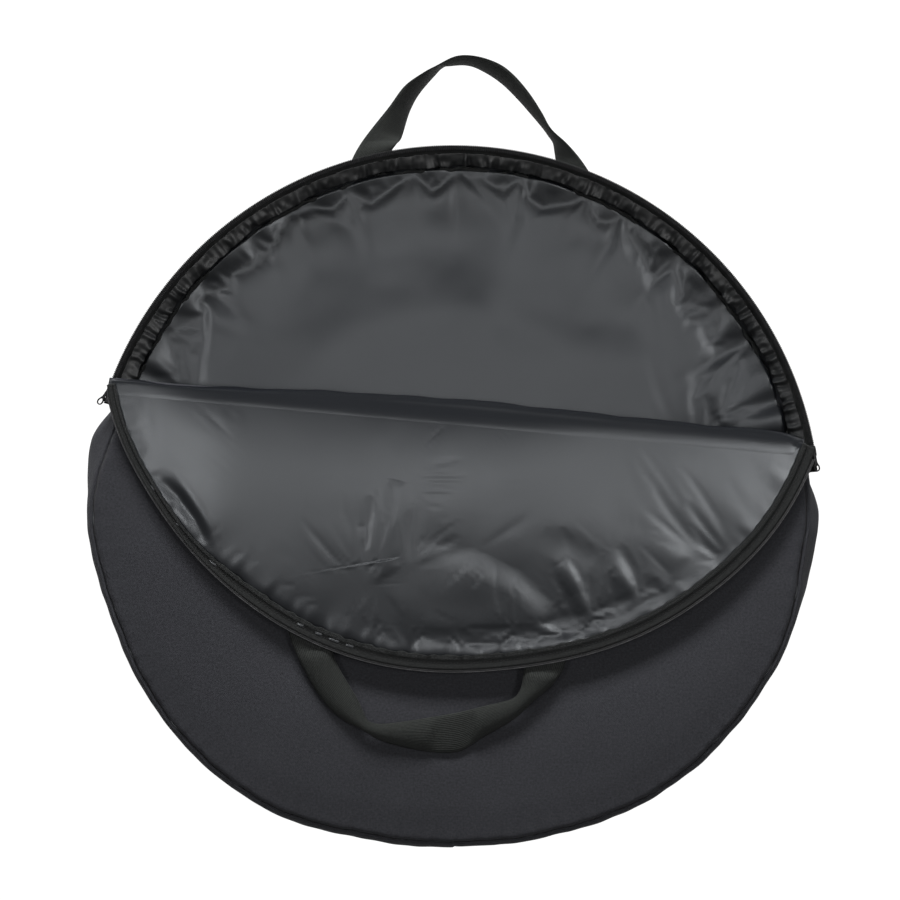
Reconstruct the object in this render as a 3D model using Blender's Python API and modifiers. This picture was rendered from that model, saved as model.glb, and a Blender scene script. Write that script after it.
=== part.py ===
"""A round padded bag for one bicycle wheel, lying on its back with its front flap folded down.

+Z points out of the front of the bag and +Y towards its carrying handles. The origin is the centre of the
round outline, on the outside of the back. Lengths are in metres and angles in degrees, counted from +X.
"""

import math

import bmesh
import bpy
from mathutils import Matrix, Vector

# The outline seen from the front: a circle above, and below it shares of its radius every 15 degrees
BAG_RADIUS = 0.378
LOWER_OUTLINE_SHARES = (1.0, 0.981, 0.975, 0.971, 0.955, 0.925, 0.915, 0.924, 0.946, 0.964, 0.974, 0.986, 1.0)
ARC_STEP = 5

# The plies of a panel, and how far the two panels stand apart
FABRIC = 0.0010
PADDING = 0.0030
LINING = 0.0008
PLY_GAP = 0.0003
POCKET_DEPTH = 0.0552

# The fold across the front: how far it lies from the centre, its slope, and the air between the folded plies
FOLD_DISTANCE = 0.1065
FOLD_SLOPE = 5.13
FOLD_AIR = 0.0040
FOLD_STEPS = 10

# The zipper
TAPE = 0.0006
TAPE_LAP = 0.0015
TAPE_EDGE = 0.0010
FLAP_TAPE_SHOW = 0.0064
TOOTH_PITCH = 0.0055
TOOTH_LENGTH = 0.0035
TOOTH_BASE = 0.0025
TOOTH_THICKNESS = 0.0025
TOOTH_CLEARANCE = 0.0005
TOOTH_WIDTH_SHARE = 0.40
TOOTH_TIP_SHARE = 0.72
COMB_BACK_STEP = 2.5
FLAP_TEETH_START = 14.0
FLAP_TEETH_END = 155.6
SLIDER_REST_LEFT = 160.0
SLIDER_REST_RIGHT = 9.65

# The sliders, their bridges and their pulls
SLIDER_LENGTH = 0.0160
SLIDER_CLEARANCE = 0.0004
SLIDER_PLATE = 0.0014
SLIDER_WALL = 0.0018
SLIDER_FLANGE = 0.0020
SLIDER_FLANGE_GAP = 0.0020
SLIDER_SHOULDER = 0.0012
SLIDER_STATIONS = 7
BRIDGE_HALF_LENGTH = 0.0052
BRIDGE_BAR = 0.0016
BRIDGE_WIDTH = 0.0019
BRIDGE_CLEARANCE = 0.0006
PULL_SETBACK = 0.0030
PULL_LENGTH = 0.0230
PULL_WIDTH = 0.0082
PULL_TIP_WIDTH = 0.0070
PULL_BAR = 0.0018
PULL_THICKNESS = 0.0016
PULL_EYE_LENGTH = 0.0076
PULL_HOLE_RADIUS = 0.0021
STOP_LENGTH = 0.0044
STOP_GAP = 0.0036
STOP_HEIGHT = 0.0030

# The band round the side: its foot and rim, drawn in from the outline, on the open arc and below it
BAND_LEVEL_SHARES = (0.0, 0.16, 0.48, 0.80, 1.0)
FOOT_INSET_OPEN = 0.0200
FOOT_INSET_BELOW = 0.0090
RIM_INSET_OPEN = 0.0160
RIM_INSET_BELOW = 0.0060
BAND_INSET_SHARES_OPEN = (1.0, 0.88, 0.70, 0.62, 0.80)
BAND_INSET_SHARES_BELOW = (1.0, 0.25, 0.0, 0.22, 0.667)
BAND_JOIN_LEFT = 163.0
BAND_JOIN_RIGHT = 6.0
BAND_OPEN_TOP_SHARE = 0.66
OPEN_ARC_LEFT = 155.0
OPEN_ARC_RIGHT = 15.0
BLEND_LEFT = 30.0
BLEND_RIGHT = 20.0
LINING_SHIFT = 0.0020
STACK_SETBACK = 0.0045

# The bound seams
BINDING_WALL = 0.0020
BINDING_FLANGE = 0.0083
BINDING_PLY = 0.0006
BEAD_HALF_WIDTH = 0.0026
BEAD_HALF_HEIGHT = 0.0022
BEAD_SIDES = 6
BEAD_LINING_SHARE = 1.15

# The carrying handles
WEBBING = 0.0020
WEBBING_WIDTH = 0.0380
HANDLE_ANGLE = 86.5
HANDLE_CLEARANCE = 0.0010
HANDLE_STEPS = 26
HANDLE_ROUNDNESS_SHARE = 1.333
BACK_HANDLE_HALF_SPAN = 0.1030
BACK_HANDLE_RISE = 0.0950
BACK_HANDLE_TWIST = 80.0
BACK_HANDLE_DROP = 0.0028
FRONT_HANDLE_HALF_SPAN = 0.1150
FRONT_HANDLE_RISE = 0.0720
FRONT_HANDLE_TAB = 0.0300

# Heights, worked out from the plies
BACK_TOP = FABRIC + PLY_GAP + PADDING + PLY_GAP + LINING
FRONT_LINING_Z = BACK_TOP + POCKET_DEPTH
FRONT_PADDING_Z = FRONT_LINING_Z + LINING + PLY_GAP
FRONT_PANEL_Z = FRONT_PADDING_Z + PADDING + PLY_GAP
FRONT_TOP = FRONT_PANEL_Z + FABRIC
FOLD_Z = FRONT_TOP + FOLD_AIR / 2
BAND_FOOT_Z = FABRIC + PLY_GAP
BAND_RIM_Z = FRONT_PANEL_Z - PLY_GAP
BAND_OPEN_TOP_Z = BAND_FOOT_Z + BAND_OPEN_TOP_SHARE * (BAND_RIM_Z - BAND_FOOT_Z)
BACK_HANDLE_Z = BAND_OPEN_TOP_Z - BACK_HANDLE_DROP
TEETH_Z = FRONT_LINING_Z + TAPE + PLY_GAP
TEETH_TOP = TEETH_Z + TOOTH_THICKNESS

# Radii across the zipper when it is closed, from the outside in
SIDE_ROOT = BAG_RADIUS - TOOTH_BASE
SIDE_TIP = SIDE_ROOT - TOOTH_LENGTH
FLAP_TIP = SIDE_ROOT - TOOTH_CLEARANCE
FLAP_ROOT = FLAP_TIP - TOOTH_LENGTH
FLAP_TEETH_BACK = FLAP_ROOT - TOOTH_BASE
FLAP_TAPE_OUTER = FLAP_TEETH_BACK + TAPE_LAP
FLAP_TAPE_INNER = FLAP_TEETH_BACK - FLAP_TAPE_SHOW
BINDING_OUTER = FLAP_TAPE_INNER - PLY_GAP
BINDING_INNER = BINDING_OUTER - BINDING_WALL
FLAP_EDGE = BINDING_INNER - PLY_GAP
SIDE_TAPE_TOP = BAG_RADIUS - TAPE_EDGE
SLIDER_OUTER = BAG_RADIUS + SLIDER_CLEARANCE + SLIDER_WALL

# The fold's direction and place
FOLD_NORMAL = Vector((math.sin(math.radians(FOLD_SLOPE)), math.cos(math.radians(FOLD_SLOPE)), 0.0))
FOLD_ALONG = Vector((FOLD_NORMAL.y, -FOLD_NORMAL.x, 0.0))
FOLD_PLACE = FOLD_NORMAL * FOLD_DISTANCE + Vector((0.0, 0.0, FOLD_Z))

# Angles of the teeth and of the band's two lengths
BAND_JOIN_GAP = math.degrees(PLY_GAP / BAG_RADIUS)
SLIDER_HALF_ANGLE = math.degrees(SLIDER_LENGTH / BAG_RADIUS / 2)
STOP_ANGLE = math.degrees(STOP_LENGTH / BAG_RADIUS)
STOP_GAP_ANGLE = math.degrees(STOP_GAP / BAG_RADIUS)
STOP_LEFT = SLIDER_REST_LEFT + SLIDER_HALF_ANGLE + STOP_GAP_ANGLE
STOP_RIGHT = SLIDER_REST_RIGHT - SLIDER_HALF_ANGLE - STOP_GAP_ANGLE

OUTER_CLOTH = (0.030, 0.030, 0.034, 1.0)
LINING_CLOTH = (0.110, 0.112, 0.118, 1.0)
FOAM = (0.250, 0.250, 0.255, 1.0)
BINDING_CLOTH = (0.022, 0.023, 0.022, 1.0)
ZIPPER_BLACK = (0.012, 0.012, 0.013, 1.0)
WEBBING_CLOTH = (0.040, 0.042, 0.040, 1.0)


def clear_scene():
    """Remove whatever the file holds."""
    for thing in list(bpy.data.objects):
        bpy.data.objects.remove(thing, do_unlink=True)


def new_collection(name):
    made = bpy.data.collections.new(name)
    bpy.context.scene.collection.children.link(made)
    return made


def finish_material(name, colour, roughness, metallic=0.0):
    made = bpy.data.materials.new(name)
    made.use_nodes = True
    shader = made.node_tree.nodes["Principled BSDF"]
    shader.inputs["Base Color"].default_value = colour
    shader.inputs["Roughness"].default_value = roughness
    shader.inputs["Metallic"].default_value = metallic
    made.diffuse_color = colour
    return made


def add_object(name, data, finish, parent=None, place=(0.0, 0.0, 0.0), turn=0.0):
    """Put a mesh or curve into the bag's collection, with a material of its own."""
    made = bpy.data.objects.new(name, data)
    parts.objects.link(made)
    data.materials.append(finish_material(name, *finish))
    made.parent = parent
    made.location = place
    made.rotation_euler.z = math.radians(turn)
    return made


def add_pivot(name, place, matrix, parent=None):
    """An empty on a joint's axis, which carries what turns about it."""
    pivot = bpy.data.objects.new(name, None)
    parts.objects.link(pivot)
    pivot.parent = parent
    pivot.matrix_basis = Matrix.Translation(place) @ matrix
    return pivot


def polar(radius, angle, z=0.0):
    turn = math.radians(angle)
    return Vector((radius * math.cos(turn), radius * math.sin(turn), z))


def arc_angles(start, end, step=ARC_STEP):
    """Start, every multiple of step inside, and end."""
    inner = [k * step for k in range(math.ceil(start / step), math.floor(end / step) + 1)]
    return [start] + [a for a in inner if start + 1e-6 < a < end - 1e-6] + [end]


def smooth(share):
    share = min(max(share, 0.0), 1.0)
    return share * share * (3.0 - 2.0 * share)


def outline_radius(angle):
    """The outline's radius: a circle above, and a smooth curve through the shares below."""
    turn = angle % 360.0
    if turn <= 180.0:
        return BAG_RADIUS
    shares = LOWER_OUTLINE_SHARES
    place = (turn - 180.0) / 180.0 * (len(shares) - 1)
    k = min(int(place), len(shares) - 2)
    t = place - k
    before, here, there, after = shares[max(k - 1, 0)], shares[k], shares[k + 1], shares[min(k + 2, len(shares) - 1)]
    bend = 2 * here + (there - before) * t
    bend += (2 * before - 5 * here + 4 * there - after) * t ** 2 + (3 * (here - there) + after - before) * t ** 3
    return BAG_RADIUS * bend / 2


def open_share(angle):
    """1 on the arc that the zipper opens, falling smoothly to 0 on the lower arc."""
    turn = (angle + 90.0) % 360.0 - 90.0
    past_left = (turn - OPEN_ARC_LEFT) / BLEND_LEFT
    past_right = (OPEN_ARC_RIGHT - turn) / BLEND_RIGHT
    return 1.0 - smooth(max(past_left, past_right))


def mixed(open_value, below_value, angle):
    share = open_share(angle)
    return open_value * share + below_value * (1.0 - share)


def foot_inset(angle):
    return mixed(FOOT_INSET_OPEN, FOOT_INSET_BELOW, angle)


def rim_inset(angle):
    return mixed(RIM_INSET_OPEN, RIM_INSET_BELOW, angle)


def band_inset(angle, z):
    """How far the side band's outer face lies inside the outline at a height."""
    share = (z - BAND_FOOT_Z) / (BAND_RIM_Z - BAND_FOOT_Z)
    share = min(max(share, 0.0), 1.0)
    k = max(i for i, level in enumerate(BAND_LEVEL_SHARES[:-1]) if level <= share)
    along = (share - BAND_LEVEL_SHARES[k]) / (BAND_LEVEL_SHARES[k + 1] - BAND_LEVEL_SHARES[k])
    opened, below = [
        width * (shares[k] + (shares[k + 1] - shares[k]) * along)
        for width, shares in (
            (FOOT_INSET_OPEN, BAND_INSET_SHARES_OPEN),
            (FOOT_INSET_BELOW, BAND_INSET_SHARES_BELOW),
        )
    ]
    return mixed(opened, below, angle)


def round_outline(inset):
    """The whole outline as points, drawn in by inset(angle)."""
    return [polar(outline_radius(a) - inset(a), a) for a in range(0, 360, ARC_STEP)]


def on_one_side(points, side, margin):
    """The part of a closed outline that lies beyond the fold line, on the side given by +1 or -1."""
    kept = []
    reach = [side * (p.dot(FOLD_NORMAL) - FOLD_DISTANCE) - margin for p in points]
    for k, point in enumerate(points):
        after = (k + 1) % len(points)
        if reach[k] >= 0.0:
            kept.append(point)
        if (reach[k] >= 0.0) != (reach[after] >= 0.0):
            kept.append(point.lerp(points[after], reach[k] / (reach[k] - reach[after])))
    return kept


def flat_sheet(name, finish, outlines, low, high, parent=None, place=(0.0, 0.0), turn=0.0):
    """A flat piece between two heights: a filled curve whose later outlines are holes."""
    curve = bpy.data.curves.new(name, "CURVE")
    curve.dimensions = "2D"
    curve.fill_mode = "BOTH"
    curve.extrude = (high - low) / 2
    for outline in outlines:
        spline = curve.splines.new("POLY")
        spline.points.add(len(outline) - 1)
        spline.use_cyclic_u = True
        for point, corner in zip(spline.points, outline):
            point.co = (corner[0], corner[1], 0.0, 1.0)
    return add_object(name, curve, finish, parent, (place[0], place[1], (low + high) / 2), turn)


def mesh_from(name, rows, closed, caps):
    """Faces between neighbouring rows of points. Caps close each row into a loop and fill the two ends."""
    mesh = bmesh.new()
    grid = [[mesh.verts.new(p) for p in row] for row in rows]
    wide = len(rows[0])
    for k in range(len(rows) - (0 if closed else 1)):
        here, there = grid[k], grid[(k + 1) % len(rows)]
        for j in range(wide - (0 if caps else 1)):
            after = (j + 1) % wide
            mesh.faces.new((here[j], there[j], there[after], here[after]))
    if caps and not closed:
        mesh.faces.new(grid[0])
        mesh.faces.new(list(reversed(grid[-1])))
    if caps:
        bmesh.ops.recalc_face_normals(mesh, faces=mesh.faces)
    data = bpy.data.meshes.new(name)
    mesh.to_mesh(data)
    mesh.free()
    return data


def skin(name, finish, rows, thickness, centred=False, **where):
    """A shell of even thickness behind an open surface."""
    made = add_object(name, mesh_from(name, rows, False, False), finish, **where)
    shell = made.modifiers.new("thickness", "SOLIDIFY")
    shell.thickness = thickness
    shell.offset = 0.0 if centred else -1.0
    shell.use_even_offset = True
    return made


def loft(name, finish, sections, closed=False, **where):
    """A solid through closed sections of alike points."""
    return add_object(name, mesh_from(name, sections, closed, True), finish, **where)


def round_section(profile, angle):
    return [polar(r, angle, z) for r, z in profile]


def bead(name, finish, angles, centre_radius, centre_z, closed=False):
    """A rolled seam binding: a small many-sided section carried round the bag."""
    sections = []
    for angle in angles:
        corners = []
        for k in range(BEAD_SIDES):
            turn = math.tau * (k + 0.5) / BEAD_SIDES
            r = centre_radius(angle) + BEAD_HALF_WIDTH * math.cos(turn)
            corners.append((r, centre_z + BEAD_HALF_HEIGHT * math.sin(turn)))
        sections.append(round_section(corners, angle))
    return loft(name, finish, sections, closed)


def build_back():
    """The back panel's three plies, on the floor."""
    low = 0.0
    setbacks = (0.0, STACK_SETBACK, STACK_SETBACK)
    plies = (
        ("back_panel", (OUTER_CLOTH, 0.85), FABRIC),
        ("back_padding", (FOAM, 0.95), PADDING),
        ("back_lining", (LINING_CLOTH, 0.45), LINING),
    )
    for (name, finish, thick), setback in zip(plies, setbacks):
        outline = round_outline(lambda a, s=setback: foot_inset(a) + s)
        flat_sheet(name, finish, [outline], low, low + thick)
        low += thick + PLY_GAP


def build_front():
    """The plies of the front below the fold, which stay on the bag."""
    plies = (
        ("front_panel", (OUTER_CLOTH, 0.85), FRONT_PANEL_Z, FABRIC, 0.0),
        ("front_padding", (FOAM, 0.95), FRONT_PADDING_Z, PADDING, STACK_SETBACK),
        ("front_lining", (LINING_CLOTH, 0.45), FRONT_LINING_Z, LINING, STACK_SETBACK),
    )
    for name, finish, low, thick, setback in plies:
        outline = round_outline(lambda a, s=setback: rim_inset(a) + s)
        flat_sheet(name, finish, [on_one_side(outline, -1, PLY_GAP)], low, low + thick)


def band_rows(angles, levels, shift):
    """Rows of points up the side band's face, moved in by shift."""
    rows = []
    for angle in angles:
        outer = outline_radius(angle) - shift
        rows.append([polar(outer - band_inset(angle, z), angle, z) for z in levels])
    return rows


def build_side():
    """The side band and its lining: full height below the fold, lower where the zipper tape tops it."""
    height = BAND_RIM_Z - BAND_FOOT_Z
    full = [BAND_FOOT_Z + share * height for share in BAND_LEVEL_SHARES]
    short = [z for z in full if z < BAND_OPEN_TOP_Z] + [BAND_OPEN_TOP_Z]
    below = arc_angles(BAND_JOIN_LEFT, 360.0 + BAND_JOIN_RIGHT)
    opened = arc_angles(BAND_JOIN_RIGHT + BAND_JOIN_GAP, BAND_JOIN_LEFT - BAND_JOIN_GAP)
    for name, angles, levels in (("lower", below, full), ("upper", opened, short)):
        skin("side_band_" + name, (OUTER_CLOTH, 0.85), band_rows(angles, levels, 0.0), FABRIC)
        rows = band_rows(angles, levels, LINING_SHIFT)
        skin("side_lining_" + name, (LINING_CLOTH, 0.45), rows, LINING)
    return opened


def build_bindings(opened):
    """The rolled bindings of the seams inside the bag."""
    inward = LINING_SHIFT + BEAD_LINING_SHARE * LINING + PLY_GAP + BEAD_HALF_WIDTH * math.cos(math.pi / BEAD_SIDES)
    foot_z = BACK_TOP + PLY_GAP + BEAD_HALF_HEIGHT
    rim_z = FRONT_LINING_Z - PLY_GAP - BEAD_HALF_HEIGHT
    top_z = BAND_OPEN_TOP_Z

    def beside(z):
        lowest, highest = z - BEAD_HALF_HEIGHT, z + BEAD_HALF_HEIGHT
        return lambda a: outline_radius(a) - inward - max(band_inset(a, lowest), band_inset(a, highest))

    cloth = (BINDING_CLOTH, 0.8)
    bead("back_seam_binding", cloth, range(0, 360, ARC_STEP), beside(foot_z), foot_z, True)
    below = arc_angles(BAND_JOIN_LEFT, 360.0 + BAND_JOIN_RIGHT)
    bead("front_seam_binding", cloth, below, beside(rim_z), rim_z)
    bead("side_top_binding", cloth, opened, beside(top_z), top_z)


def build_fold():
    """The bent plies between the front and its flap: each turns half round the fold line."""
    rim = BAG_RADIUS - RIM_INSET_OPEN
    layers = (
        ("fold_outer", (OUTER_CLOTH, 0.85), FABRIC, 0.0),
        ("fold_padding", (FOAM, 0.95), PADDING, FABRIC + PLY_GAP),
        ("fold_lining", (LINING_CLOTH, 0.45), LINING, FABRIC + PLY_GAP + PADDING + PLY_GAP),
    )
    reach = FOLD_AIR / 2 + layers[-1][3] + LINING
    half = math.sqrt(rim ** 2 - (FOLD_DISTANCE + reach) ** 2)
    for name, finish, thick, depth in layers:
        radius = FOLD_AIR / 2 + depth + thick / 2
        edge = bmesh.new()
        edge.edges.new([edge.verts.new((x, 0.0, -radius)) for x in (-half, half)])
        data = bpy.data.meshes.new(name)
        edge.to_mesh(data)
        edge.free()
        made = add_object(name, data, finish, None, FOLD_PLACE, -FOLD_SLOPE)
        bend = made.modifiers.new("bend", "SCREW")
        bend.axis = "X"
        bend.angle = math.pi
        bend.steps = FOLD_STEPS
        bend.render_steps = FOLD_STEPS
        shell = made.modifiers.new("thickness", "SOLIDIFY")
        shell.thickness = thick
        shell.offset = 0.0


def comb(name, root, tip, back, start, end, phase, **where):
    """One side of the zipper: a curved strip with a tooth every pitch, each narrower at its tip."""
    pitch = math.degrees(TOOTH_PITCH / SIDE_ROOT)
    half = pitch * TOOTH_WIDTH_SHARE / 2
    outline = [polar(root, start)]
    for k in range(math.ceil(start / pitch - phase + 0.5), math.floor(end / pitch - phase - 0.5) + 1):
        middle = (k + phase) * pitch
        outline.append(polar(root, middle - half))
        outline.append(polar(tip, middle - half * TOOTH_TIP_SHARE))
        outline.append(polar(tip, middle + half * TOOTH_TIP_SHARE))
        outline.append(polar(root, middle + half))
    outline.append(polar(root, end))
    outline += [polar(back, a) for a in reversed(arc_angles(start, end, COMB_BACK_STEP))]
    return flat_sheet(name, (ZIPPER_BLACK, 0.5), [outline], **where)


def build_side_zipper():
    """The tape and teeth that stay on the bag, with a stop at each end."""
    start = STOP_RIGHT + STOP_GAP_ANGLE / 2
    end = STOP_LEFT - STOP_GAP_ANGLE / 2
    top_z = TEETH_Z - PLY_GAP - TAPE
    foot_z = BAND_OPEN_TOP_Z + FABRIC
    rows = []
    for angle in arc_angles(BAND_JOIN_RIGHT + BAND_JOIN_GAP, BAND_JOIN_LEFT - BAND_JOIN_GAP):
        foot = BAG_RADIUS - band_inset(angle, BAND_OPEN_TOP_Z)
        rows.append([polar(foot, angle, foot_z), polar(SIDE_TAPE_TOP, angle, top_z)])
    skin("zipper_tape_side", (BINDING_CLOTH, 0.8), rows, TAPE)
    heights = {"low": TEETH_Z, "high": TEETH_TOP}
    comb("zipper_teeth_side", SIDE_ROOT, SIDE_TIP, BAG_RADIUS, start, end, 0.5, **heights)
    for name, first, last in (
        ("zipper_stop_left", STOP_LEFT, STOP_LEFT + STOP_ANGLE),
        ("zipper_stop_right", STOP_RIGHT - STOP_ANGLE, STOP_RIGHT),
    ):
        block = ((SIDE_TIP, TEETH_Z), (BAG_RADIUS, TEETH_Z), (BAG_RADIUS, TEETH_Z + STOP_HEIGHT), (SIDE_TIP, TEETH_Z + STOP_HEIGHT))
        sections = [round_section(block, a) for a in (first, (first + last) / 2, last)]
        loft(name, (ZIPPER_BLACK, 0.4), sections)


def build_flap(pivot):
    """The flap as sewn, in its closed place. The pivot folds it down."""
    held = {"parent": pivot, "place": -FOLD_PLACE.to_2d()}
    circle = [polar(FLAP_EDGE, a) for a in range(0, 360, ARC_STEP)]
    outline = on_one_side(circle, 1, PLY_GAP)
    plies = (
        ("flap_panel", (OUTER_CLOTH, 0.85), FRONT_PANEL_Z, FABRIC),
        ("flap_padding", (FOAM, 0.95), FRONT_PADDING_Z, PADDING),
        ("flap_lining", (LINING_CLOTH, 0.45), FRONT_LINING_Z, LINING),
    )
    for name, finish, low, thick in plies:
        flat_sheet(name, finish, [outline], low - FOLD_Z, low + thick - FOLD_Z, **held)
    angles = arc_angles(FLAP_TEETH_START, FLAP_TEETH_END)
    flange_z = FRONT_LINING_Z - PLY_GAP
    profile = (
        (BINDING_OUTER - BINDING_FLANGE - BINDING_WALL, flange_z - BINDING_PLY),
        (BINDING_OUTER, flange_z - BINDING_PLY),
        (BINDING_OUTER, FRONT_TOP - PLY_GAP),
        (BINDING_INNER, FRONT_TOP - PLY_GAP),
        (BINDING_INNER, flange_z),
        (BINDING_OUTER - BINDING_FLANGE - BINDING_WALL, flange_z),
    )
    sections = [round_section(profile, a) for a in angles]
    loft("flap_binding", (BINDING_CLOTH, 0.8), sections, parent=pivot, place=-FOLD_PLACE)
    inner = [polar(FLAP_TAPE_INNER, a) for a in reversed(angles)]
    tape = [polar(FLAP_TAPE_OUTER, a) for a in angles] + inner
    tape_z = FRONT_LINING_Z - FOLD_Z
    flat_sheet("zipper_tape_flap", (BINDING_CLOTH, 0.8), [tape], tape_z, tape_z + TAPE, **held)
    held.update(low=TEETH_Z - FOLD_Z, high=TEETH_TOP - FOLD_Z)
    limits = (FLAP_TEETH_START, FLAP_TEETH_END)
    comb("zipper_teeth_flap", FLAP_ROOT, FLAP_TIP, FLAP_TEETH_BACK, *limits, 0.0, **held)


def slider_section(angle, narrowing):
    """The slider's channel: a top plate over both rows of teeth, an inner flange and a hooked outer wall."""
    channel = TEETH_TOP + SLIDER_CLEARANCE
    top = channel + SLIDER_PLATE
    flange = FLAP_TEETH_BACK - SLIDER_FLANGE_GAP
    inner = flange - SLIDER_FLANGE + narrowing
    outer = SLIDER_OUTER - narrowing
    wall = BAG_RADIUS + SLIDER_CLEARANCE
    hook = SIDE_TAPE_TOP + SLIDER_CLEARANCE
    hook_top = TEETH_Z - SLIDER_CLEARANCE
    flange_foot = TEETH_Z - PLY_GAP + 2 * SLIDER_CLEARANCE
    profile = (
        (inner, flange_foot),
        (flange, flange_foot),
        (flange, channel),
        (wall, channel),
        (wall, hook_top),
        (hook, hook_top),
        (hook, hook_top - SLIDER_PLATE),
        (outer, hook_top - SLIDER_PLATE),
        (outer, top),
        (inner, top),
    )
    return round_section(profile, angle)


def build_slider(side, rest, sign):
    """A slider whose origin is the bag's axis, with its bridge joined on, and its pull on the bridge."""
    stations = []
    for k in range(SLIDER_STATIONS):
        along = 2.0 * k / (SLIDER_STATIONS - 1) - 1.0
        narrowing = SLIDER_SHOULDER * abs(along) ** 3
        stations.append(slider_section(along * SLIDER_HALF_ANGLE, narrowing))
    slider = loft("zipper_slider_" + side, (ZIPPER_BLACK, 0.35, 0.6), stations, turn=rest)
    top = TEETH_TOP + SLIDER_CLEARANCE + SLIDER_PLATE
    pivot_r = BAG_RADIUS - PULL_SETBACK
    bar_turn = math.hypot(PULL_THICKNESS, PULL_BAR) / 2
    pivot_z = top + bar_turn + BRIDGE_CLEARANCE / 3
    under = pivot_z + bar_turn + BRIDGE_CLEARANCE / 2
    over = under + BRIDGE_BAR
    inside = BRIDGE_HALF_LENGTH - BRIDGE_BAR
    sunk = top - SLIDER_PLATE / 2
    arch = [(-BRIDGE_HALF_LENGTH, sunk), (-BRIDGE_HALF_LENGTH, under), (-inside, over), (inside, over)]
    arch += [(BRIDGE_HALF_LENGTH, under), (BRIDGE_HALF_LENGTH, sunk), (inside, sunk), (inside, under)]
    arch += [(-inside, under), (-inside, sunk)]
    rows = [[Vector((pivot_r + x, y, z)) for y, z in arch] for x in (-BRIDGE_WIDTH / 2, BRIDGE_WIDTH / 2)]
    bridge = bpy.data.objects.new("bridge_" + side, mesh_from("bridge_" + side, rows, False, True))
    cutters.objects.link(bridge)
    bridge.rotation_euler.z = math.radians(rest)
    bridge.hide_render = True
    bridge.display_type = "WIRE"
    joined = slider.modifiers.new("bridge", "BOOLEAN")
    joined.operation = "UNION"
    joined.object = bridge
    build_pull(side, slider, (pivot_r, 0.0, pivot_z), sign)


def build_pull(side, slider, place, sign):
    """A flat pull: a bar under the bridge, an eye for the bridge's leg, and a tip with a round hole."""
    half_bar = PULL_BAR / 2
    half_eye = BRIDGE_WIDTH / 2 + BRIDGE_CLEARANCE
    eye_end = half_bar + PULL_EYE_LENGTH
    tip = PULL_LENGTH - half_bar
    half, half_tip = PULL_WIDTH / 2, PULL_TIP_WIDTH / 2
    outer = [(-half, -half_bar), (half, -half_bar), (half, eye_end)]
    outer += [
        (half_tip * math.cos(math.radians(t)), tip - half_tip + half_tip * math.sin(math.radians(t)))
        for t in range(0, 181, 30)
    ]
    outer.append((-half, eye_end))
    eye = [(-half_eye, half_bar), (half_eye, half_bar), (half_eye, eye_end), (-half_eye, eye_end)]
    hole = [
        (PULL_HOLE_RADIUS * math.cos(math.radians(t)), tip - half_tip + PULL_HOLE_RADIUS * math.sin(math.radians(t)))
        for t in range(0, 360, 36)
    ]
    loops = [[(x, sign * y) for x, y in loop] for loop in (outer, eye, hole)]
    thick = PULL_THICKNESS / 2
    pull = flat_sheet("zipper_pull_" + side, (ZIPPER_BLACK, 0.35, 0.6), loops, -thick, thick, slider)
    pull.location = place


def handle_rows(half_span, rise, twist, lift):
    """The two edges of a strap on an arch, flat at its ends and turned on edge by twist at its top."""
    rows = []
    for k in range(HANDLE_STEPS + 1):
        turn = math.pi * k / HANDLE_STEPS
        high = math.sin(turn) ** HANDLE_ROUNDNESS_SHARE if 0 < k < HANDLE_STEPS else 0.0
        ahead, behind = [
            Vector((half_span * math.cos(t), rise * abs(math.sin(t)) ** HANDLE_ROUNDNESS_SHARE, 0.0))
            for t in (min(turn + 0.01, math.pi), max(turn - 0.01, 0.0))
        ]
        along = (ahead - behind).normalized()
        if k in (0, HANDLE_STEPS):
            along = Vector((0.0, 1.0 if k == 0 else -1.0, 0.0))
        lean = math.radians(twist * high)
        across = Vector((along.y, -along.x, 0.0)) * math.cos(lean) + Vector((0.0, 0.0, math.sin(lean)))
        height = lift * (WEBBING + WEBBING_WIDTH * math.sin(lean)) / 2
        centre = Vector((half_span * math.cos(turn), rise * high, height))
        rows.append([centre - across * WEBBING_WIDTH / 2, centre + across * WEBBING_WIDTH / 2])
    return rows


def hinge_reach(half_span):
    """How far out a handle turns, so that its ends clear the zipper and the sliders."""
    inner = half_span - WEBBING_WIDTH / 2
    return math.sqrt((SLIDER_OUTER + HANDLE_CLEARANCE) ** 2 - inner ** 2)


def build_handle(side, half_span, rise, twist, face_z, lift, tab_start, parent=None):
    """A carrying handle with its origin on the line through its sewn ends, and those two ends."""
    away = Vector((0.0, 0.0, 0.0)) if parent is None else FOLD_PLACE
    reach = hinge_reach(half_span)
    turn = HANDLE_ANGLE - 90.0
    finish = (WEBBING_CLOTH, 0.75)
    place = polar(reach, HANDLE_ANGLE, face_z) - away
    rows = handle_rows(half_span, rise, twist, lift)
    skin(side + "_handle", finish, rows, WEBBING, True, parent=parent, place=place, turn=turn)
    low, high = sorted((face_z - away.z, face_z + lift * WEBBING - away.z))
    tab_end = reach - PLY_GAP
    for name, middle in (("_left", -half_span), ("_right", half_span)):
        first, last = middle - WEBBING_WIDTH / 2, middle + WEBBING_WIDTH / 2
        tab = [(first, tab_start), (last, tab_start), (last, tab_end), (first, tab_end)]
        flat_sheet(side + "_handle_end" + name, finish, [tab], low, high, parent, -away.to_2d(), turn)


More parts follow.
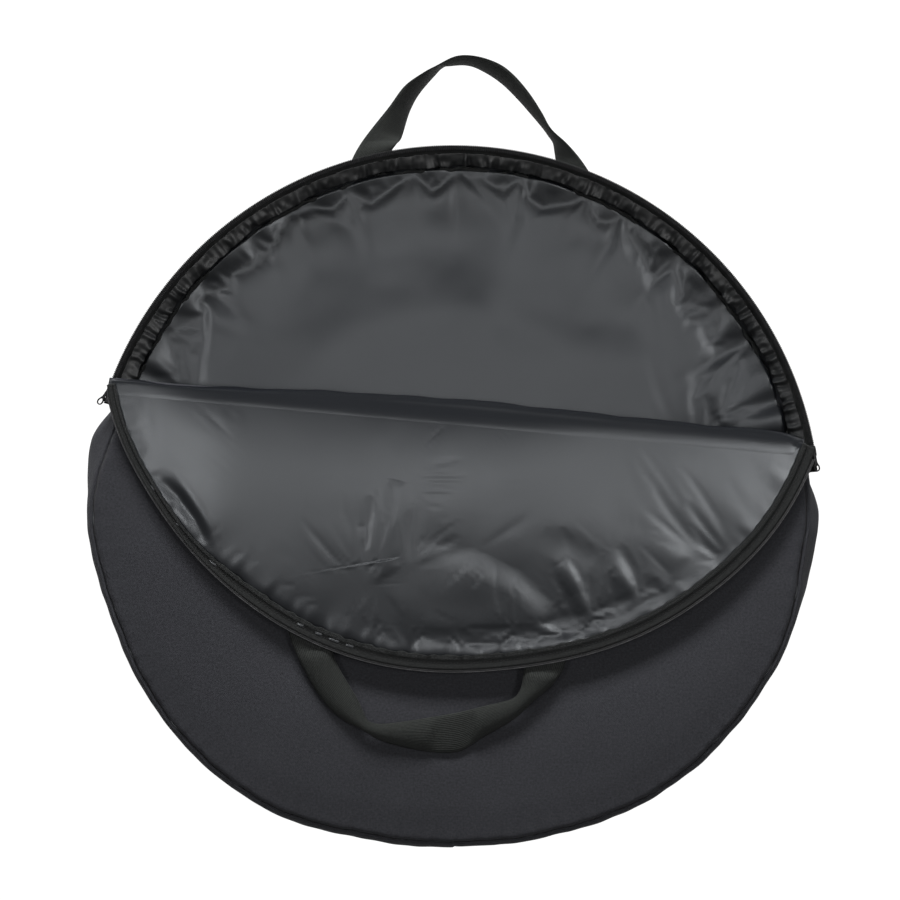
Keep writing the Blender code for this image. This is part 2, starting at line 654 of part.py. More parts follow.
def build_handles(pivot):
    """The back handle is sewn to the side band's outside, and the front one to the flap's outer face."""
    inner = BACK_HANDLE_HALF_SPAN - WEBBING_WIDTH / 2
    band = BAG_RADIUS - band_inset(HANDLE_ANGLE, BACK_HANDLE_Z) + PLY_GAP
    start = math.sqrt(band ** 2 - inner ** 2)
    size = (BACK_HANDLE_HALF_SPAN, BACK_HANDLE_RISE, BACK_HANDLE_TWIST)
    build_handle("back", *size, BACK_HANDLE_Z, -1.0, start)
    face = FRONT_TOP + PLY_GAP
    start = hinge_reach(FRONT_HANDLE_HALF_SPAN) - FRONT_HANDLE_TAB
    size = (FRONT_HANDLE_HALF_SPAN, FRONT_HANDLE_RISE, 0.0)
    build_handle("front", *size, face, 1.0, start, pivot)


clear_scene()
parts = new_collection("wheel_bag")
cutters = new_collection("cutters")
build_back()
build_front()
build_bindings(build_side())
build_fold()
build_side_zipper()
flap_pivot = add_pivot("flap_pivot", FOLD_PLACE, Matrix.Rotation(math.pi, 4, FOLD_ALONG))
build_flap(flap_pivot)
build_slider("left", SLIDER_REST_LEFT, 1.0)
build_slider("right", SLIDER_REST_RIGHT, -1.0)
build_handles(flap_pivot)
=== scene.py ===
import math

import bmesh
import bpy
import numpy as np
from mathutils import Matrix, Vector


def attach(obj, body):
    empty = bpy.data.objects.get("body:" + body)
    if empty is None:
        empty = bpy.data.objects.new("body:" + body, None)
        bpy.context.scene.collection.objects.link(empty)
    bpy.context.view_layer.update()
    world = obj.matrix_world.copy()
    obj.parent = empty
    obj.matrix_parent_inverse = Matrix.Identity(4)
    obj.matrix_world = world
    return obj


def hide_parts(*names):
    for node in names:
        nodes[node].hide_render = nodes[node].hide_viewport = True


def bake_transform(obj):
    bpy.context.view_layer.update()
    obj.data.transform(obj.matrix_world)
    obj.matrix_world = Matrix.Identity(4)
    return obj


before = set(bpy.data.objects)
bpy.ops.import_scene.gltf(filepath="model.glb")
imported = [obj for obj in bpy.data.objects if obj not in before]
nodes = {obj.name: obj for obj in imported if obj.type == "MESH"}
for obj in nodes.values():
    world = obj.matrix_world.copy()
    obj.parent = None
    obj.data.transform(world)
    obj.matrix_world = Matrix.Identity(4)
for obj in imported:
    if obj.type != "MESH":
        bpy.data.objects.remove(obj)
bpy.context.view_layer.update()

# Everything below is worked out in millimetres, and put into the meshes in metres.
MM = 0.001
PIXEL = 1.03
CENTRE_X, CENTRE_Y = 453.5, 512.0
CAMERA_X, CAMERA_Y = (450 - CENTRE_X) * PIXEL, (CENTRE_Y - 450) * PIXEL
CAMERA_DISTANCE = 1750.0
FRONT_Z = 62.0

# Values repeated from the part's source
BAG_RADIUS = 378.0
LOWER_SHARES = (1.0, 0.981, 0.975, 0.971, 0.955, 0.925, 0.915, 0.924, 0.946, 0.964, 0.974, 0.986, 1.0)
FOLD_DISTANCE = 106.5
FOLD_Z = 68.0
FOLD_TURN = math.radians(5.13)
FOLD_ACROSS = np.array([math.sin(FOLD_TURN), math.cos(FOLD_TURN)])
FOLD_ALONG = np.array([math.cos(FOLD_TURN), -math.sin(FOLD_TURN)])
FOLD_PLACE = FOLD_ACROSS * FOLD_DISTANCE
FLAP_CENTRE = 2 * FOLD_PLACE
JOIN_LEFT, JOIN_RIGHT = 163.0, 366.0
TAPE_END_LEFT, TAPE_END_RIGHT = 162.7, 6.3
FLAP_START, FLAP_END = 14.0, 155.6
SLIDER_LEFT, SLIDER_RIGHT = 160.0, 9.65
WEBBING_WIDTH = 38.0
LINING_EDGE = 360.4
BACK_HANDLE_Z = 39.3

# Where the lattices of the two settled linings start and how far apart their points lie, the simulation's length,
# and the most that it may move a point
FLAP_ORIGIN, FLAP_STEP = (-372.0, -186.0), 4.0
BACK_ORIGIN, BACK_STEP = (-365.0, 20.0), 4.5
SETTLE_FRAMES, SETTLE_CAP = 40, 6.0

# The zipper's coils, its stitches and where the sliders sit
COIL_Z, COIL_PITCH, COIL_WIRE = 62.7, 1.9, 0.42
STITCH_LENGTH, STITCH_GAP, STITCH_RADIUS = 2.2, 1.2, 0.26
SLIDER_RADIUS, PULL_RADIUS, PULL_Z = 373.6, 375.0, 67.2


def link(obj):
    """Put an object into the scene."""
    bpy.context.scene.collection.objects.link(obj)
    return obj


def map_range(tree, value, source, target):
    """Nodes that carry a value from one range to another, and stop at its ends."""
    made = tree.nodes.new("ShaderNodeMapRange")
    for key, number in zip(("From Min", "From Max", "To Min", "To Max"), (*source, *target)):
        made.inputs[key].default_value = number
    tree.links.new(value, made.inputs["Value"])
    return made.outputs["Result"]


def camera_and_stage():
    """The camera looks straight down on the bag. The floor is white to the camera and keeps a faint shadow."""
    data = bpy.data.cameras.new("photo_camera")
    data.sensor_width = 36.0
    data.lens = 36.0 * CAMERA_DISTANCE / (900 * PIXEL)
    camera = link(bpy.data.objects.new("photo_camera", data))
    camera.location = (CAMERA_X * MM, CAMERA_Y * MM, (FRONT_Z + CAMERA_DISTANCE) * MM)
    bpy.context.scene.camera = camera

    mesh = bpy.data.meshes.new("floor")
    mesh.from_pydata([(-8, -8, -0.0005), (8, -8, -0.0005), (8, 8, -0.0005), (-8, 8, -0.0005)], [], [(0, 1, 2, 3)])
    floor = link(bpy.data.objects.new("floor", mesh))
    paint = bpy.data.materials.new("floor_white")
    paint.use_nodes = True
    tree = paint.node_tree
    tree.nodes.clear()
    matt = tree.nodes.new("ShaderNodeBsdfDiffuse")
    matt.inputs["Color"].default_value = (0.80, 0.80, 0.80, 1.0)
    white = tree.nodes.new("ShaderNodeEmission")
    white.inputs["Color"].default_value = (1.0, 1.0, 1.0, 1.0)
    white.inputs["Strength"].default_value = 1.1
    path = tree.nodes.new("ShaderNodeLightPath")
    seen = tree.nodes.new("ShaderNodeMath")
    seen.operation = "MAXIMUM"
    share = tree.nodes.new("ShaderNodeMath")
    share.operation = "MULTIPLY"
    share.inputs[1].default_value = 0.93
    mix = tree.nodes.new("ShaderNodeMixShader")
    out = tree.nodes.new("ShaderNodeOutputMaterial")
    for source, target in (
        (path.outputs["Is Camera Ray"], seen.inputs[0]), (path.outputs["Is Glossy Ray"], seen.inputs[1]),
        (seen.outputs[0], share.inputs[0]), (share.outputs[0], mix.inputs["Fac"]),
        (matt.outputs[0], mix.inputs[1]), (white.outputs[0], mix.inputs[2]), (mix.outputs[0], out.inputs["Surface"]),
    ):
        tree.links.new(source, target)
    mesh.materials.append(paint)

    world = bpy.data.worlds.new("studio")
    bpy.context.scene.world = world
    world.use_nodes = True
    tree = world.node_tree
    back = tree.nodes["Background"]
    path = tree.nodes.new("ShaderNodeLightPath")
    tree.links.new(map_range(tree, path.outputs["Is Camera Ray"], (0.0, 1.0), (0.11, 1.05)), back.inputs["Strength"])
    back.inputs["Color"].default_value = (1.0, 1.0, 1.0, 1.0)

    def lamp(name, place, aim, size, watts, mirrored=True):
        light = bpy.data.lights.new(name, "AREA")
        light.shape = "RECTANGLE"
        light.size, light.size_y = size
        light.energy = watts
        made = link(bpy.data.objects.new(name, light))
        made.location = place
        made.visible_glossy = mirrored
        made.rotation_euler = (Vector(aim) - Vector(place)).to_track_quat("-Z", "Y").to_euler()

    lamp("soft_box_middle", (0.0, 0.12, 2.3), (0.0, 0.05, 0.0), (0.60, 0.34), 4.4)
    lamp("soft_box_right", (1.12, 0.17, 2.2), (0.10, 0.05, 0.0), (0.60, 0.40), 12.6)
    lamp("soft_box_left", (-1.05, 0.05, 2.2), (-0.10, 0.05, 0.0), (0.50, 0.40), 7.5)
    lamp("soft_box_beyond", (-0.25, 2.3, 1.10), (0.0, -0.05, 0.05), (1.7, 0.6), 160.0, False)
    bpy.context.scene.view_settings.view_transform = "Standard"


def radius_below(angle):
    """The bag's outline radius: the circle above, and a smooth cubic through the measured shares below."""
    turn = np.mod(angle, 360.0)
    shares = np.array(LOWER_SHARES)
    place = np.clip((turn - 180.0) / 180.0, 0.0, 1.0) * (len(shares) - 1)
    k = np.minimum(place.astype(int), len(shares) - 2)
    t = place - k
    before, here = shares[np.maximum(k - 1, 0)], shares[k]
    there, after = shares[k + 1], shares[np.minimum(k + 2, len(shares) - 1)]
    bend = 2 * here + (there - before) * t
    bend += (2 * before - 5 * here + 4 * there - after) * t**2 + (3 * (here - there) + after - before) * t**3
    return np.where(turn <= 180.0, BAG_RADIUS, BAG_RADIUS * bend / 2)


def smooth(t):
    """An eased step from 0 to 1."""
    t = np.clip(t, 0.0, 1.0)
    return t * t * (3.0 - 2.0 * t)


def upper_turn(angle):
    """The same direction as an angle from -90 to 270 degrees, so that the arc that opens has no jump in it."""
    return np.mod(angle + 90.0, 360.0) - 90.0


def open_share(angle):
    """1 on the arc that the zipper opens, falling to 0 on the lower arc."""
    turn = upper_turn(angle)
    return 1.0 - smooth(np.maximum((turn - 155.0) / 30.0, (15.0 - turn) / 20.0))


def drawn_share(angle):
    """The same for the wall as it is drawn: the cloth swells out to the outline just past the sliders."""
    turn = upper_turn(angle)
    return 1.0 - smooth(np.maximum((turn - 156.0) / 12.0, (14.0 - turn) / 12.0))


def cubic(t, values, at):
    """A smooth curve through values at t: cubic pieces whose slopes are the mean of their neighbours'."""
    slope = np.gradient(values, t)
    k = np.clip(np.searchsorted(t, at, side="right") - 1, 0, len(t) - 2)
    h = t[k + 1] - t[k]
    s = (at - t[k]) / h
    h00, h10 = 2 * s**3 - 3 * s**2 + 1, s**3 - 2 * s**2 + s
    h01, h11 = -2 * s**3 + 3 * s**2, s**3 - s**2
    return h00 * values[k] + h10 * h * slope[k] + h01 * values[k + 1] + h11 * h * slope[k + 1]


def polar(radius, angle, z):
    """Points about the bag's middle, with the angle in degrees."""
    turn = np.radians(angle)
    return np.stack(np.broadcast_arrays(radius * np.cos(turn), radius * np.sin(turn), z), axis=-1)


def closed(ring):
    """A ring of points with its first one again at its end."""
    return np.concatenate([ring, ring[:1]])


def lengths_along(path):
    """How far along a path each of its points lies."""
    return np.concatenate([[0.0], np.cumsum(np.linalg.norm(np.diff(path, axis=0), axis=1))])


def oval(count, wide, high, middle=(0.0, 0.0)):
    """An ellipse as a ring of points."""
    k = np.arange(count) * 2 * np.pi / count
    return np.stack([middle[0] + wide * np.cos(k), middle[1] + high * np.sin(k)], -1)


def half_turn(points):
    """Points given with the flap closed, turned half round the fold line to where the open flap is."""
    flat = points[..., :2] - FOLD_PLACE
    along = flat @ FOLD_ALONG
    turned = 2 * along[..., None] * FOLD_ALONG - flat + FOLD_PLACE
    return np.concatenate([turned, 2 * FOLD_Z - points[..., 2:3]], axis=-1)


def from_photo(pixels, height=FRONT_Z):
    """Points from places on the picture's grid of 900 by 900, seen at a height above the floor."""
    at = np.array(pixels, float)
    flat = np.stack([(at[:, 0] - CENTRE_X) * PIXEL, (CENTRE_Y - at[:, 1]) * PIXEL], axis=-1)
    under = np.array([CAMERA_X, CAMERA_Y])
    above = FRONT_Z + CAMERA_DISTANCE - np.asarray(height, float)[..., None]
    return under + (flat - under) * (above / CAMERA_DISTANCE)


def ripple(t, waves, seed):
    """A sum of sines of t with the given (wavelength, height) pairs and seeded phases."""
    rng = np.random.default_rng(seed)
    total = np.zeros_like(np.asarray(t, float))
    for length, height in waves:
        total = total + height * np.sin(2 * np.pi * (t / length + rng.random()))
    return total


def lumps(x, y, size, seed):
    """Smooth value noise from -1 to 1: random numbers on a square lattice, eased between its points."""
    rng = np.random.default_rng(seed)
    lattice = rng.uniform(-1.0, 1.0, (97, 97))
    u, v = x / size + 40.37, y / size + 40.71
    i, j = np.floor(u).astype(int), np.floor(v).astype(int)
    fu, fv = smooth(u - i), smooth(v - j)
    i, j = i % 96, j % 96
    low = lattice[i, j] * (1 - fu) + lattice[i + 1, j] * fu
    high = lattice[i, j + 1] * (1 - fu) + lattice[i + 1, j + 1] * fu
    return low * (1 - fv) + high * fv


def distance_to(x, y, line):
    """Each point's distance to a polyline, with the share of the way along it, and the side it lies on."""
    best = np.full(x.shape, 1e9)
    share = np.zeros(x.shape)
    side = np.ones(x.shape)
    lengths = np.linalg.norm(np.diff(line, axis=0), axis=1)
    total, gone = lengths.sum(), 0.0
    for a, b, length in zip(line[:-1], line[1:], lengths):
        d = (b - a) / length
        t = np.clip((x - a[0]) * d[0] + (y - a[1]) * d[1], 0.0, length)
        px, py = x - a[0] - d[0] * t, y - a[1] - d[1] * t
        reach = np.hypot(px, py)
        near = reach < best
        best = np.where(near, reach, best)
        share = np.where(near, (gone + t) / total, share)
        side = np.where(near, np.sign(d[0] * py - d[1] * px), side)
        gone += length
    return best, share, side


def fold_ridge(x, y, pixels, width, height):
    """A soft ridge along a line, a bell across it that fades towards its ends."""
    reach, share, _ = distance_to(x, y, from_photo(pixels))
    return height * np.exp(-((reach / width) ** 2)) * np.sin(np.pi * np.clip(share, 0.02, 0.98)) ** 0.5


def fold_step(x, y, pixels, width, height, reach_out):
    """A soft step: the surface sinks on the line's right-hand side, and comes back further out."""
    reach, share, side = distance_to(x, y, from_photo(pixels))
    signed = -side * reach
    ends = np.sin(np.pi * np.clip(share, 0.02, 0.98)) ** 0.7
    return -height * smooth(signed / width + 0.5) * np.exp(-((np.maximum(signed, 0) / reach_out) ** 2)) * ends


def settle(name, x, y, z, inside, pin, grow):
    """Cloth simulation of a lining on a square lattice, larger than the frame it is sewn to, so that it wrinkles.

    x, y and z are the lattice's points, inside marks those that are cloth, pin holds its border, and grow is the
    share by which the cloth is larger there. What comes back is how far each point rose or sank, capped."""
    rise = np.zeros(x.shape)
    index = np.full(x.shape, -1)
    index[inside] = np.arange(inside.sum())
    quads = np.stack([index[:-1, :-1], index[:-1, 1:], index[1:, 1:], index[1:, :-1]], -1).reshape(-1, 4)
    points = np.stack([x[inside], y[inside], z[inside]], -1)
    mesh = bpy.data.meshes.new(name)
    mesh.from_pydata((points * MM).tolist(), [], quads[(quads >= 0).all(axis=1)].tolist())
    sheet = link(bpy.data.objects.new(name, mesh))
    for label, share in (("pin", pin[inside]), ("grow", grow[inside] / grow[inside].max())):
        group = sheet.vertex_groups.new(name=label)
        level = np.round(share * 40).astype(int)
        for step in np.unique(level):
            group.add(np.nonzero(level == step)[0].tolist(), step / 40, "REPLACE")
    cloth = sheet.modifiers.new("cloth", "CLOTH")
    values = cloth.settings
    values.quality, values.mass = 6, 0.15
    values.tension_stiffness = values.compression_stiffness = 40.0
    values.shear_stiffness, values.bending_stiffness = 16.0, 0.05
    values.tension_damping = values.compression_damping = values.shear_damping = 2.0
    values.bending_damping, values.air_damping = 0.2, 1.0
    values.vertex_group_mass = "pin"
    values.vertex_group_shrink = "grow"
    values.shrink_min, values.shrink_max = 0.0, -float(grow[inside].max())
    values.use_pressure, values.uniform_pressure_force = True, 1.0
    values.effector_weights.gravity = 0.0
    cloth.collision_settings.use_collision = False
    cloth.point_cache.frame_end = SETTLE_FRAMES
    for now in range(1, SETTLE_FRAMES + 1):
        bpy.context.scene.frame_set(now)
    settled = sheet.evaluated_get(bpy.context.evaluated_depsgraph_get())
    found = np.empty(len(points) * 3, np.float32)
    settled.data.vertices.foreach_get("co", found)
    moved = found.reshape(-1, 3)[:, 2] / MM - points[:, 2]
    rise[inside] = SETTLE_CAP * np.tanh(moved / SETTLE_CAP)
    bpy.data.objects.remove(sheet)
    bpy.context.scene.frame_set(1)
    return rise


def sample(field, origin, step, x, y):
    """A lattice's values at any point, by cubic pieces along both axes."""
    total = 0.0
    u, v = (x - origin[0]) / step, (y - origin[1]) / step
    j, i = np.floor(u).astype(int), np.floor(v).astype(int)

    def weights(t):
        inner = (3 * t**3 - 5 * t**2 + 2) / 2, (-3 * t**3 + 4 * t**2 + t) / 2
        return (-t**3 + 2 * t**2 - t) / 2, *inner, (t**3 - t**2) / 2

    for di, wi in enumerate(weights(v - i)):
        for dj, wj in enumerate(weights(u - j)):
            row = np.clip(i + di - 1, 0, field.shape[0] - 1)
            column = np.clip(j + dj - 1, 0, field.shape[1] - 1)
            total = total + wi * wj * field[row, column]
    return total


def make_object(name, points, faces, uv, slots, material_index=None):
    """A smooth mesh from arrays: points in millimetres, faces as corner lists, and a UV for each corner in metres."""
    mesh = bpy.data.meshes.new(name)
    mesh.from_pydata((np.asarray(points) * MM).tolist(), [], [list(f) for f in faces])
    mesh.polygons.foreach_set("use_smooth", [True] * len(mesh.polygons))
    layer = mesh.uv_layers.new(name="cloth")
    layer.data.foreach_set("uv", (np.asarray(uv) * MM).astype(np.float32).ravel())
    for finish in slots:
        mesh.materials.append(finish)
    if material_index is not None:
        mesh.polygons.foreach_set("material_index", np.asarray(material_index, np.int32))
    return link(bpy.data.objects.new(name, mesh))


def grid_faces(rows, columns, loop=False):
    """Quads of a grid whose columns close on themselves, as indices and as (row, column) corners."""
    wide, high = columns - 1, rows - 1 if loop else rows
    i, j = np.meshgrid(np.arange(rows - 1), np.arange(columns - 1), indexing="ij")
    corners = np.stack([np.stack(pair, -1) for pair in ((i, j), (i, j + 1), (i + 1, j + 1), (i + 1, j))], 2)
    corners = corners.reshape(-1, 4, 2)
    return (corners[..., 0] % high) * wide + corners[..., 1] % wide, corners


def loft(name, points, u, v, slots, ends, kinds=None, loop=False):
    """A closed shell from rows of sections, with one face over each end, or its rows closed to a loop.

    u and v are the cloth's coordinates along the rows and round a section, ends the coordinates of the two end
    faces, and kinds the slot for each column of quads."""
    count = points.shape[1]
    faces, corners = grid_faces(len(u), len(v), loop)
    uv = np.stack([u[corners[..., 0]], v[corners[..., 1]]], -1).reshape(-1, 2)
    faces = faces.tolist()
    if not loop:
        last = (len(points) - 1) * count
        faces += [list(range(count)), [last + k for k in range(count)][::-1]]
        uv = np.concatenate([uv, *ends])
    if kinds is not None:
        kinds = np.concatenate([kinds[corners[:, 0, 1]], [0, 0]])
    made = make_object(name, points.reshape(-1, 3), faces, uv, slots, kinds)
    turn_outwards(made)
    return made


def pad(name, edge, centre, top, bottom, slots, rings, easing=1.0):
    """A closed flat cushion. Rings run from the centre to the edge; top and bottom give z, and share the edge ring."""
    share = (np.arange(1, rings + 1) / rings) ** easing
    xy = centre + share[:, None, None] * (edge - centre)[None]
    count = edge.shape[0]
    x, y = xy[..., 0], xy[..., 1]
    upper = np.stack([x, y, top(x, y)], -1)
    lower = np.stack([x, y, bottom(x, y)], -1)[:-1]
    mid_x, mid_y = np.array([[centre[0]]]), np.array([[centre[1]]])
    poles = [[centre[0], centre[1], float(f(mid_x, mid_y)[0, 0])] for f in (top, bottom)]
    points = np.concatenate([poles, upper.reshape(-1, 3), lower.reshape(-1, 3)])
    up = 2 + np.arange(rings * count).reshape(rings, count)
    down = np.concatenate([2 + rings * count + np.arange((rings - 1) * count).reshape(rings - 1, count), up[-1:]])
    after = np.roll(np.arange(count), -1)
    faces, kinds = [], []
    for ring, pole, kind in ((up, 0, 0), (down, 1, 1)):
        fan = np.stack([np.full(count, pole), ring[0], ring[0][after]], -1)
        quads = np.stack([ring[:-1], ring[1:], ring[1:][:, after], ring[:-1][:, after]], -1).reshape(-1, 4)
        if kind == 1:
            fan, quads = fan[:, ::-1], quads[:, ::-1]
        faces += fan.tolist() + quads.tolist()
        kinds += [kind] * (len(fan) + len(quads))
    flat = np.concatenate([np.array(f) for f in faces])
    return make_object(name, points, faces, points[flat][:, :2], slots, kinds)


def tube_along(name, path, side, up, outline, slots):
    """A profile carried along a path: each section is path + side * x + up * y, capped at both ends."""
    outline = np.broadcast_to(outline, (len(path),) + np.shape(outline)[-2:])
    points = path[:, None] + side[:, None] * outline[..., :1] + up[:, None] * outline[..., 1:]
    around = lengths_along(closed(outline[0]))
    return loft(name, points, lengths_along(path), around, slots, (outline[0], outline[-1][::-1]))


def turn_outwards(obj, sharp=None):
    """Recalculate a closed shell's normals so that they point out, and mark the edges that bend by more than sharp."""
    shell = bmesh.new()
    shell.from_mesh(obj.data)
    bmesh.ops.recalc_face_normals(shell, faces=shell.faces)
    if sharp is not None:
        for edge in shell.edges:
            edge.smooth = edge.calc_face_angle(0.0) < math.radians(sharp)
    shell.to_mesh(obj.data)
    shell.free()


def frames_along(path):
    """Unit tangents along a path, from the points on both sides."""
    tangent = np.concatenate([path[1:], path[-1:]]) - np.concatenate([path[:1], path[:-1]])
    return tangent / np.linalg.norm(tangent, axis=1, keepdims=True)


# Materials


def node(tree, kind, **values):
    """A node with its settings and its inputs' values."""
    made = tree.nodes.new(kind)
    for key, value in values.items():
        if hasattr(made, key):
            setattr(made, key, value)
        else:
            made.inputs[key].default_value = value
    return made


def math_node(tree, operation, a, b=None):
    """A sum on numbers or other nodes' outputs."""
    made = tree.nodes.new("ShaderNodeMath")
    made.operation = operation
    for socket, value in zip(made.inputs, (a, b)):
        if value is None:
            continue
        if isinstance(value, (int, float)):
            socket.default_value = value
        else:
            tree.links.new(value, socket)
    return made.outputs[0]


def new_group(name, inputs, outputs):
    """A node group with its sockets, and its input and output nodes."""
    group = bpy.data.node_groups.new(name, "ShaderNodeTree")
    for label, kind, value in inputs:
        socket = group.interface.new_socket(label, in_out="INPUT", socket_type=kind)
        if value is not None:
            socket.default_value = value
    for label, kind in outputs:
        group.interface.new_socket(label, in_out="OUTPUT", socket_type=kind)
    return group, group.nodes.new("NodeGroupInput"), group.nodes.new("NodeGroupOutput")


def weave_group():
    """Plain weave: over-and-under threads as the product of two sines, loosened by noise, with a tone for colour."""
    group, given, made = new_group(
        "plain_weave",
        [
            ("Vector", "NodeSocketVector", None), ("Across", "NodeSocketFloat", 1.0),
            ("Along", "NodeSocketFloat", 1.0), ("Slub", "NodeSocketFloat", 0.5),
        ],
        [("Height", "NodeSocketFloat"), ("Tone", "NodeSocketFloat")],
    )
    links = group.links
    wobble = node(group, "ShaderNodeTexNoise", Scale=140.0, Detail=1.0)
    links.new(given.outputs["Vector"], wobble.inputs["Vector"])
    split = node(group, "ShaderNodeSeparateXYZ")
    links.new(given.outputs["Vector"], split.inputs[0])
    bend = math_node(group, "MULTIPLY", wobble.outputs["Fac"], 0.0012)
    waves = []
    for axis, count in (("X", "Across"), ("Y", "Along")):
        moved = math_node(group, "ADD", split.outputs[axis], bend)
        turns = math_node(group, "MULTIPLY", moved, given.outputs[count])
        waves.append(math_node(group, "SINE", math_node(group, "MULTIPLY", turns, 2 * math.pi)))
    weave = math_node(group, "MULTIPLY", waves[0], waves[1])
    links.new(math_node(group, "ADD", math_node(group, "MULTIPLY", weave, 0.5), 0.5), made.inputs["Height"])
    stretch = node(group, "ShaderNodeMapping")
    stretch.inputs["Scale"].default_value = (1.0, 5.0, 1.0)
    links.new(given.outputs["Vector"], stretch.inputs["Vector"])
    slub = node(group, "ShaderNodeTexNoise", Scale=160.0, Detail=3.0, Roughness=0.6)
    links.new(stretch.outputs[0], slub.inputs["Vector"])
    grain = node(group, "ShaderNodeTexNoise", Scale=430.0, Detail=4.0, Roughness=0.7)
    links.new(given.outputs["Vector"], grain.inputs["Vector"])
    mix = node(group, "ShaderNodeMix")
    links.new(given.outputs["Slub"], mix.inputs[0])
    links.new(grain.outputs["Fac"], mix.inputs[2])
    links.new(slub.outputs["Fac"], mix.inputs[3])
    links.new(mix.outputs[0], made.inputs["Tone"])
    return group


def rib_group():
    """Webbing: rounded lengthwise ribs crossed by fine picks."""
    group, given, made = new_group(
        "webbing_ribs",
        [
            ("Vector", "NodeSocketVector", None), ("Ribs", "NodeSocketFloat", 500.0),
            ("Picks", "NodeSocketFloat", 900.0),
        ],
        [("Height", "NodeSocketFloat"), ("Tone", "NodeSocketFloat")],
    )
    links = group.links
    split = node(group, "ShaderNodeSeparateXYZ")
    links.new(given.outputs["Vector"], split.inputs[0])
    waves = []
    for axis, count in (("Y", "Ribs"), ("X", "Picks")):
        turns = math_node(group, "MULTIPLY", split.outputs[axis], given.outputs[count])
        waves.append(math_node(group, "SINE", math_node(group, "MULTIPLY", turns, 2 * math.pi)))
    ribs, picks = waves
    both = math_node(group, "ADD", math_node(group, "MULTIPLY", ribs, 0.34), math_node(group, "MULTIPLY", picks, 0.16))
    links.new(math_node(group, "ADD", both, 0.5), made.inputs["Height"])
    noise = node(group, "ShaderNodeTexNoise", Scale=420.0, Detail=3.0)
    links.new(given.outputs["Vector"], noise.inputs["Vector"])
    raised = math_node(group, "MULTIPLY", math_node(group, "ADD", ribs, 1.0), 0.2)
    tone = math_node(group, "ADD", math_node(group, "MULTIPLY", noise.outputs["Fac"], 0.6), raised)
    links.new(tone, made.inputs["Tone"])
    return group


def cloth_material(name, group, colours, roughness, specular, bump, values, sheen=0.0, patches=0.0, tint=(1, 1, 1)):
    """Cloth: the group's tone mixes two colours and shifts the roughness, and its height makes the weave's relief."""
    made = bpy.data.materials.new(name)
    made.use_nodes = True
    tree = made.node_tree
    shader = tree.nodes["Principled BSDF"]
    coords = node(tree, "ShaderNodeTexCoord")
    weave = tree.nodes.new("ShaderNodeGroup")
    weave.node_tree = group
    for key, value in values.items():
        weave.inputs[key].default_value = value
    tree.links.new(coords.outputs["UV"], weave.inputs["Vector"])
    tone = weave.outputs["Tone"]
    broad = node(tree, "ShaderNodeTexNoise", Scale=9.0, Detail=3.0, Roughness=0.55)
    tree.links.new(coords.outputs["Object"], broad.inputs["Vector"])
    if patches:
        worn = math_node(tree, "MULTIPLY", broad.outputs["Fac"], patches)
        tone = math_node(tree, "ADD", math_node(tree, "MULTIPLY", tone, 1.0 - patches), worn)
    colour = node(tree, "ShaderNodeMix", data_type="RGBA")
    for socket, shade in zip(colour.inputs[6:8], colours):
        socket.default_value = (*shade, 1.0)
    tree.links.new(map_range(tree, tone, (0.25, 0.75), (0.0, 1.0)), colour.inputs[0])
    tree.links.new(colour.outputs[2], shader.inputs["Base Color"])
    rough = map_range(tree, tone, (0.0, 1.0), (roughness - 0.05, roughness + 0.05))
    tree.links.new(rough, shader.inputs["Roughness"])
    relief = node(tree, "ShaderNodeBump", Strength=bump, Distance=0.0004)
    tree.links.new(weave.outputs["Height"], relief.inputs["Height"])
    tree.links.new(relief.outputs["Normal"], shader.inputs["Normal"])
    shader.inputs["Specular IOR Level"].default_value = specular
    shader.inputs["Specular Tint"].default_value = (*tint, 1.0)
    shader.inputs["Sheen Weight"].default_value = sheen
    shader.inputs["Sheen Roughness"].default_value = 0.4
    return made


def metal_material(name, colour, roughness, specular):
    """Painted metal or moulded plastic: a fine grain in the roughness and relief, worn lighter in places."""
    made = bpy.data.materials.new(name)
    made.use_nodes = True
    tree = made.node_tree
    shader = tree.nodes["Principled BSDF"]
    coords = node(tree, "ShaderNodeTexCoord")
    grain = node(tree, "ShaderNodeTexNoise", Scale=1800.0, Detail=3.0)
    wear = node(tree, "ShaderNodeTexNoise", Scale=260.0, Detail=4.0, Roughness=0.7)
    for texture in (grain, wear):
        tree.links.new(coords.outputs["Object"], texture.inputs["Vector"])
    mix = node(tree, "ShaderNodeMix", data_type="RGBA")
    mix.inputs[6].default_value = (*colour, 1.0)
    mix.inputs[7].default_value = (*[min(1.0, c * 2.2) for c in colour], 1.0)
    tree.links.new(map_range(tree, wear.outputs["Fac"], (0.45, 0.75), (0.0, 1.0)), mix.inputs[0])
    tree.links.new(mix.outputs[2], shader.inputs["Base Color"])
    rough = map_range(tree, grain.outputs["Fac"], (0.0, 1.0), (roughness - 0.08, roughness + 0.08))
    tree.links.new(rough, shader.inputs["Roughness"])
    relief = node(tree, "ShaderNodeBump", Strength=0.15, Distance=0.0001)
    tree.links.new(grain.outputs["Fac"], relief.inputs["Height"])
    tree.links.new(relief.outputs["Normal"], shader.inputs["Normal"])
    shader.inputs["Specular IOR Level"].default_value = specular
    return made


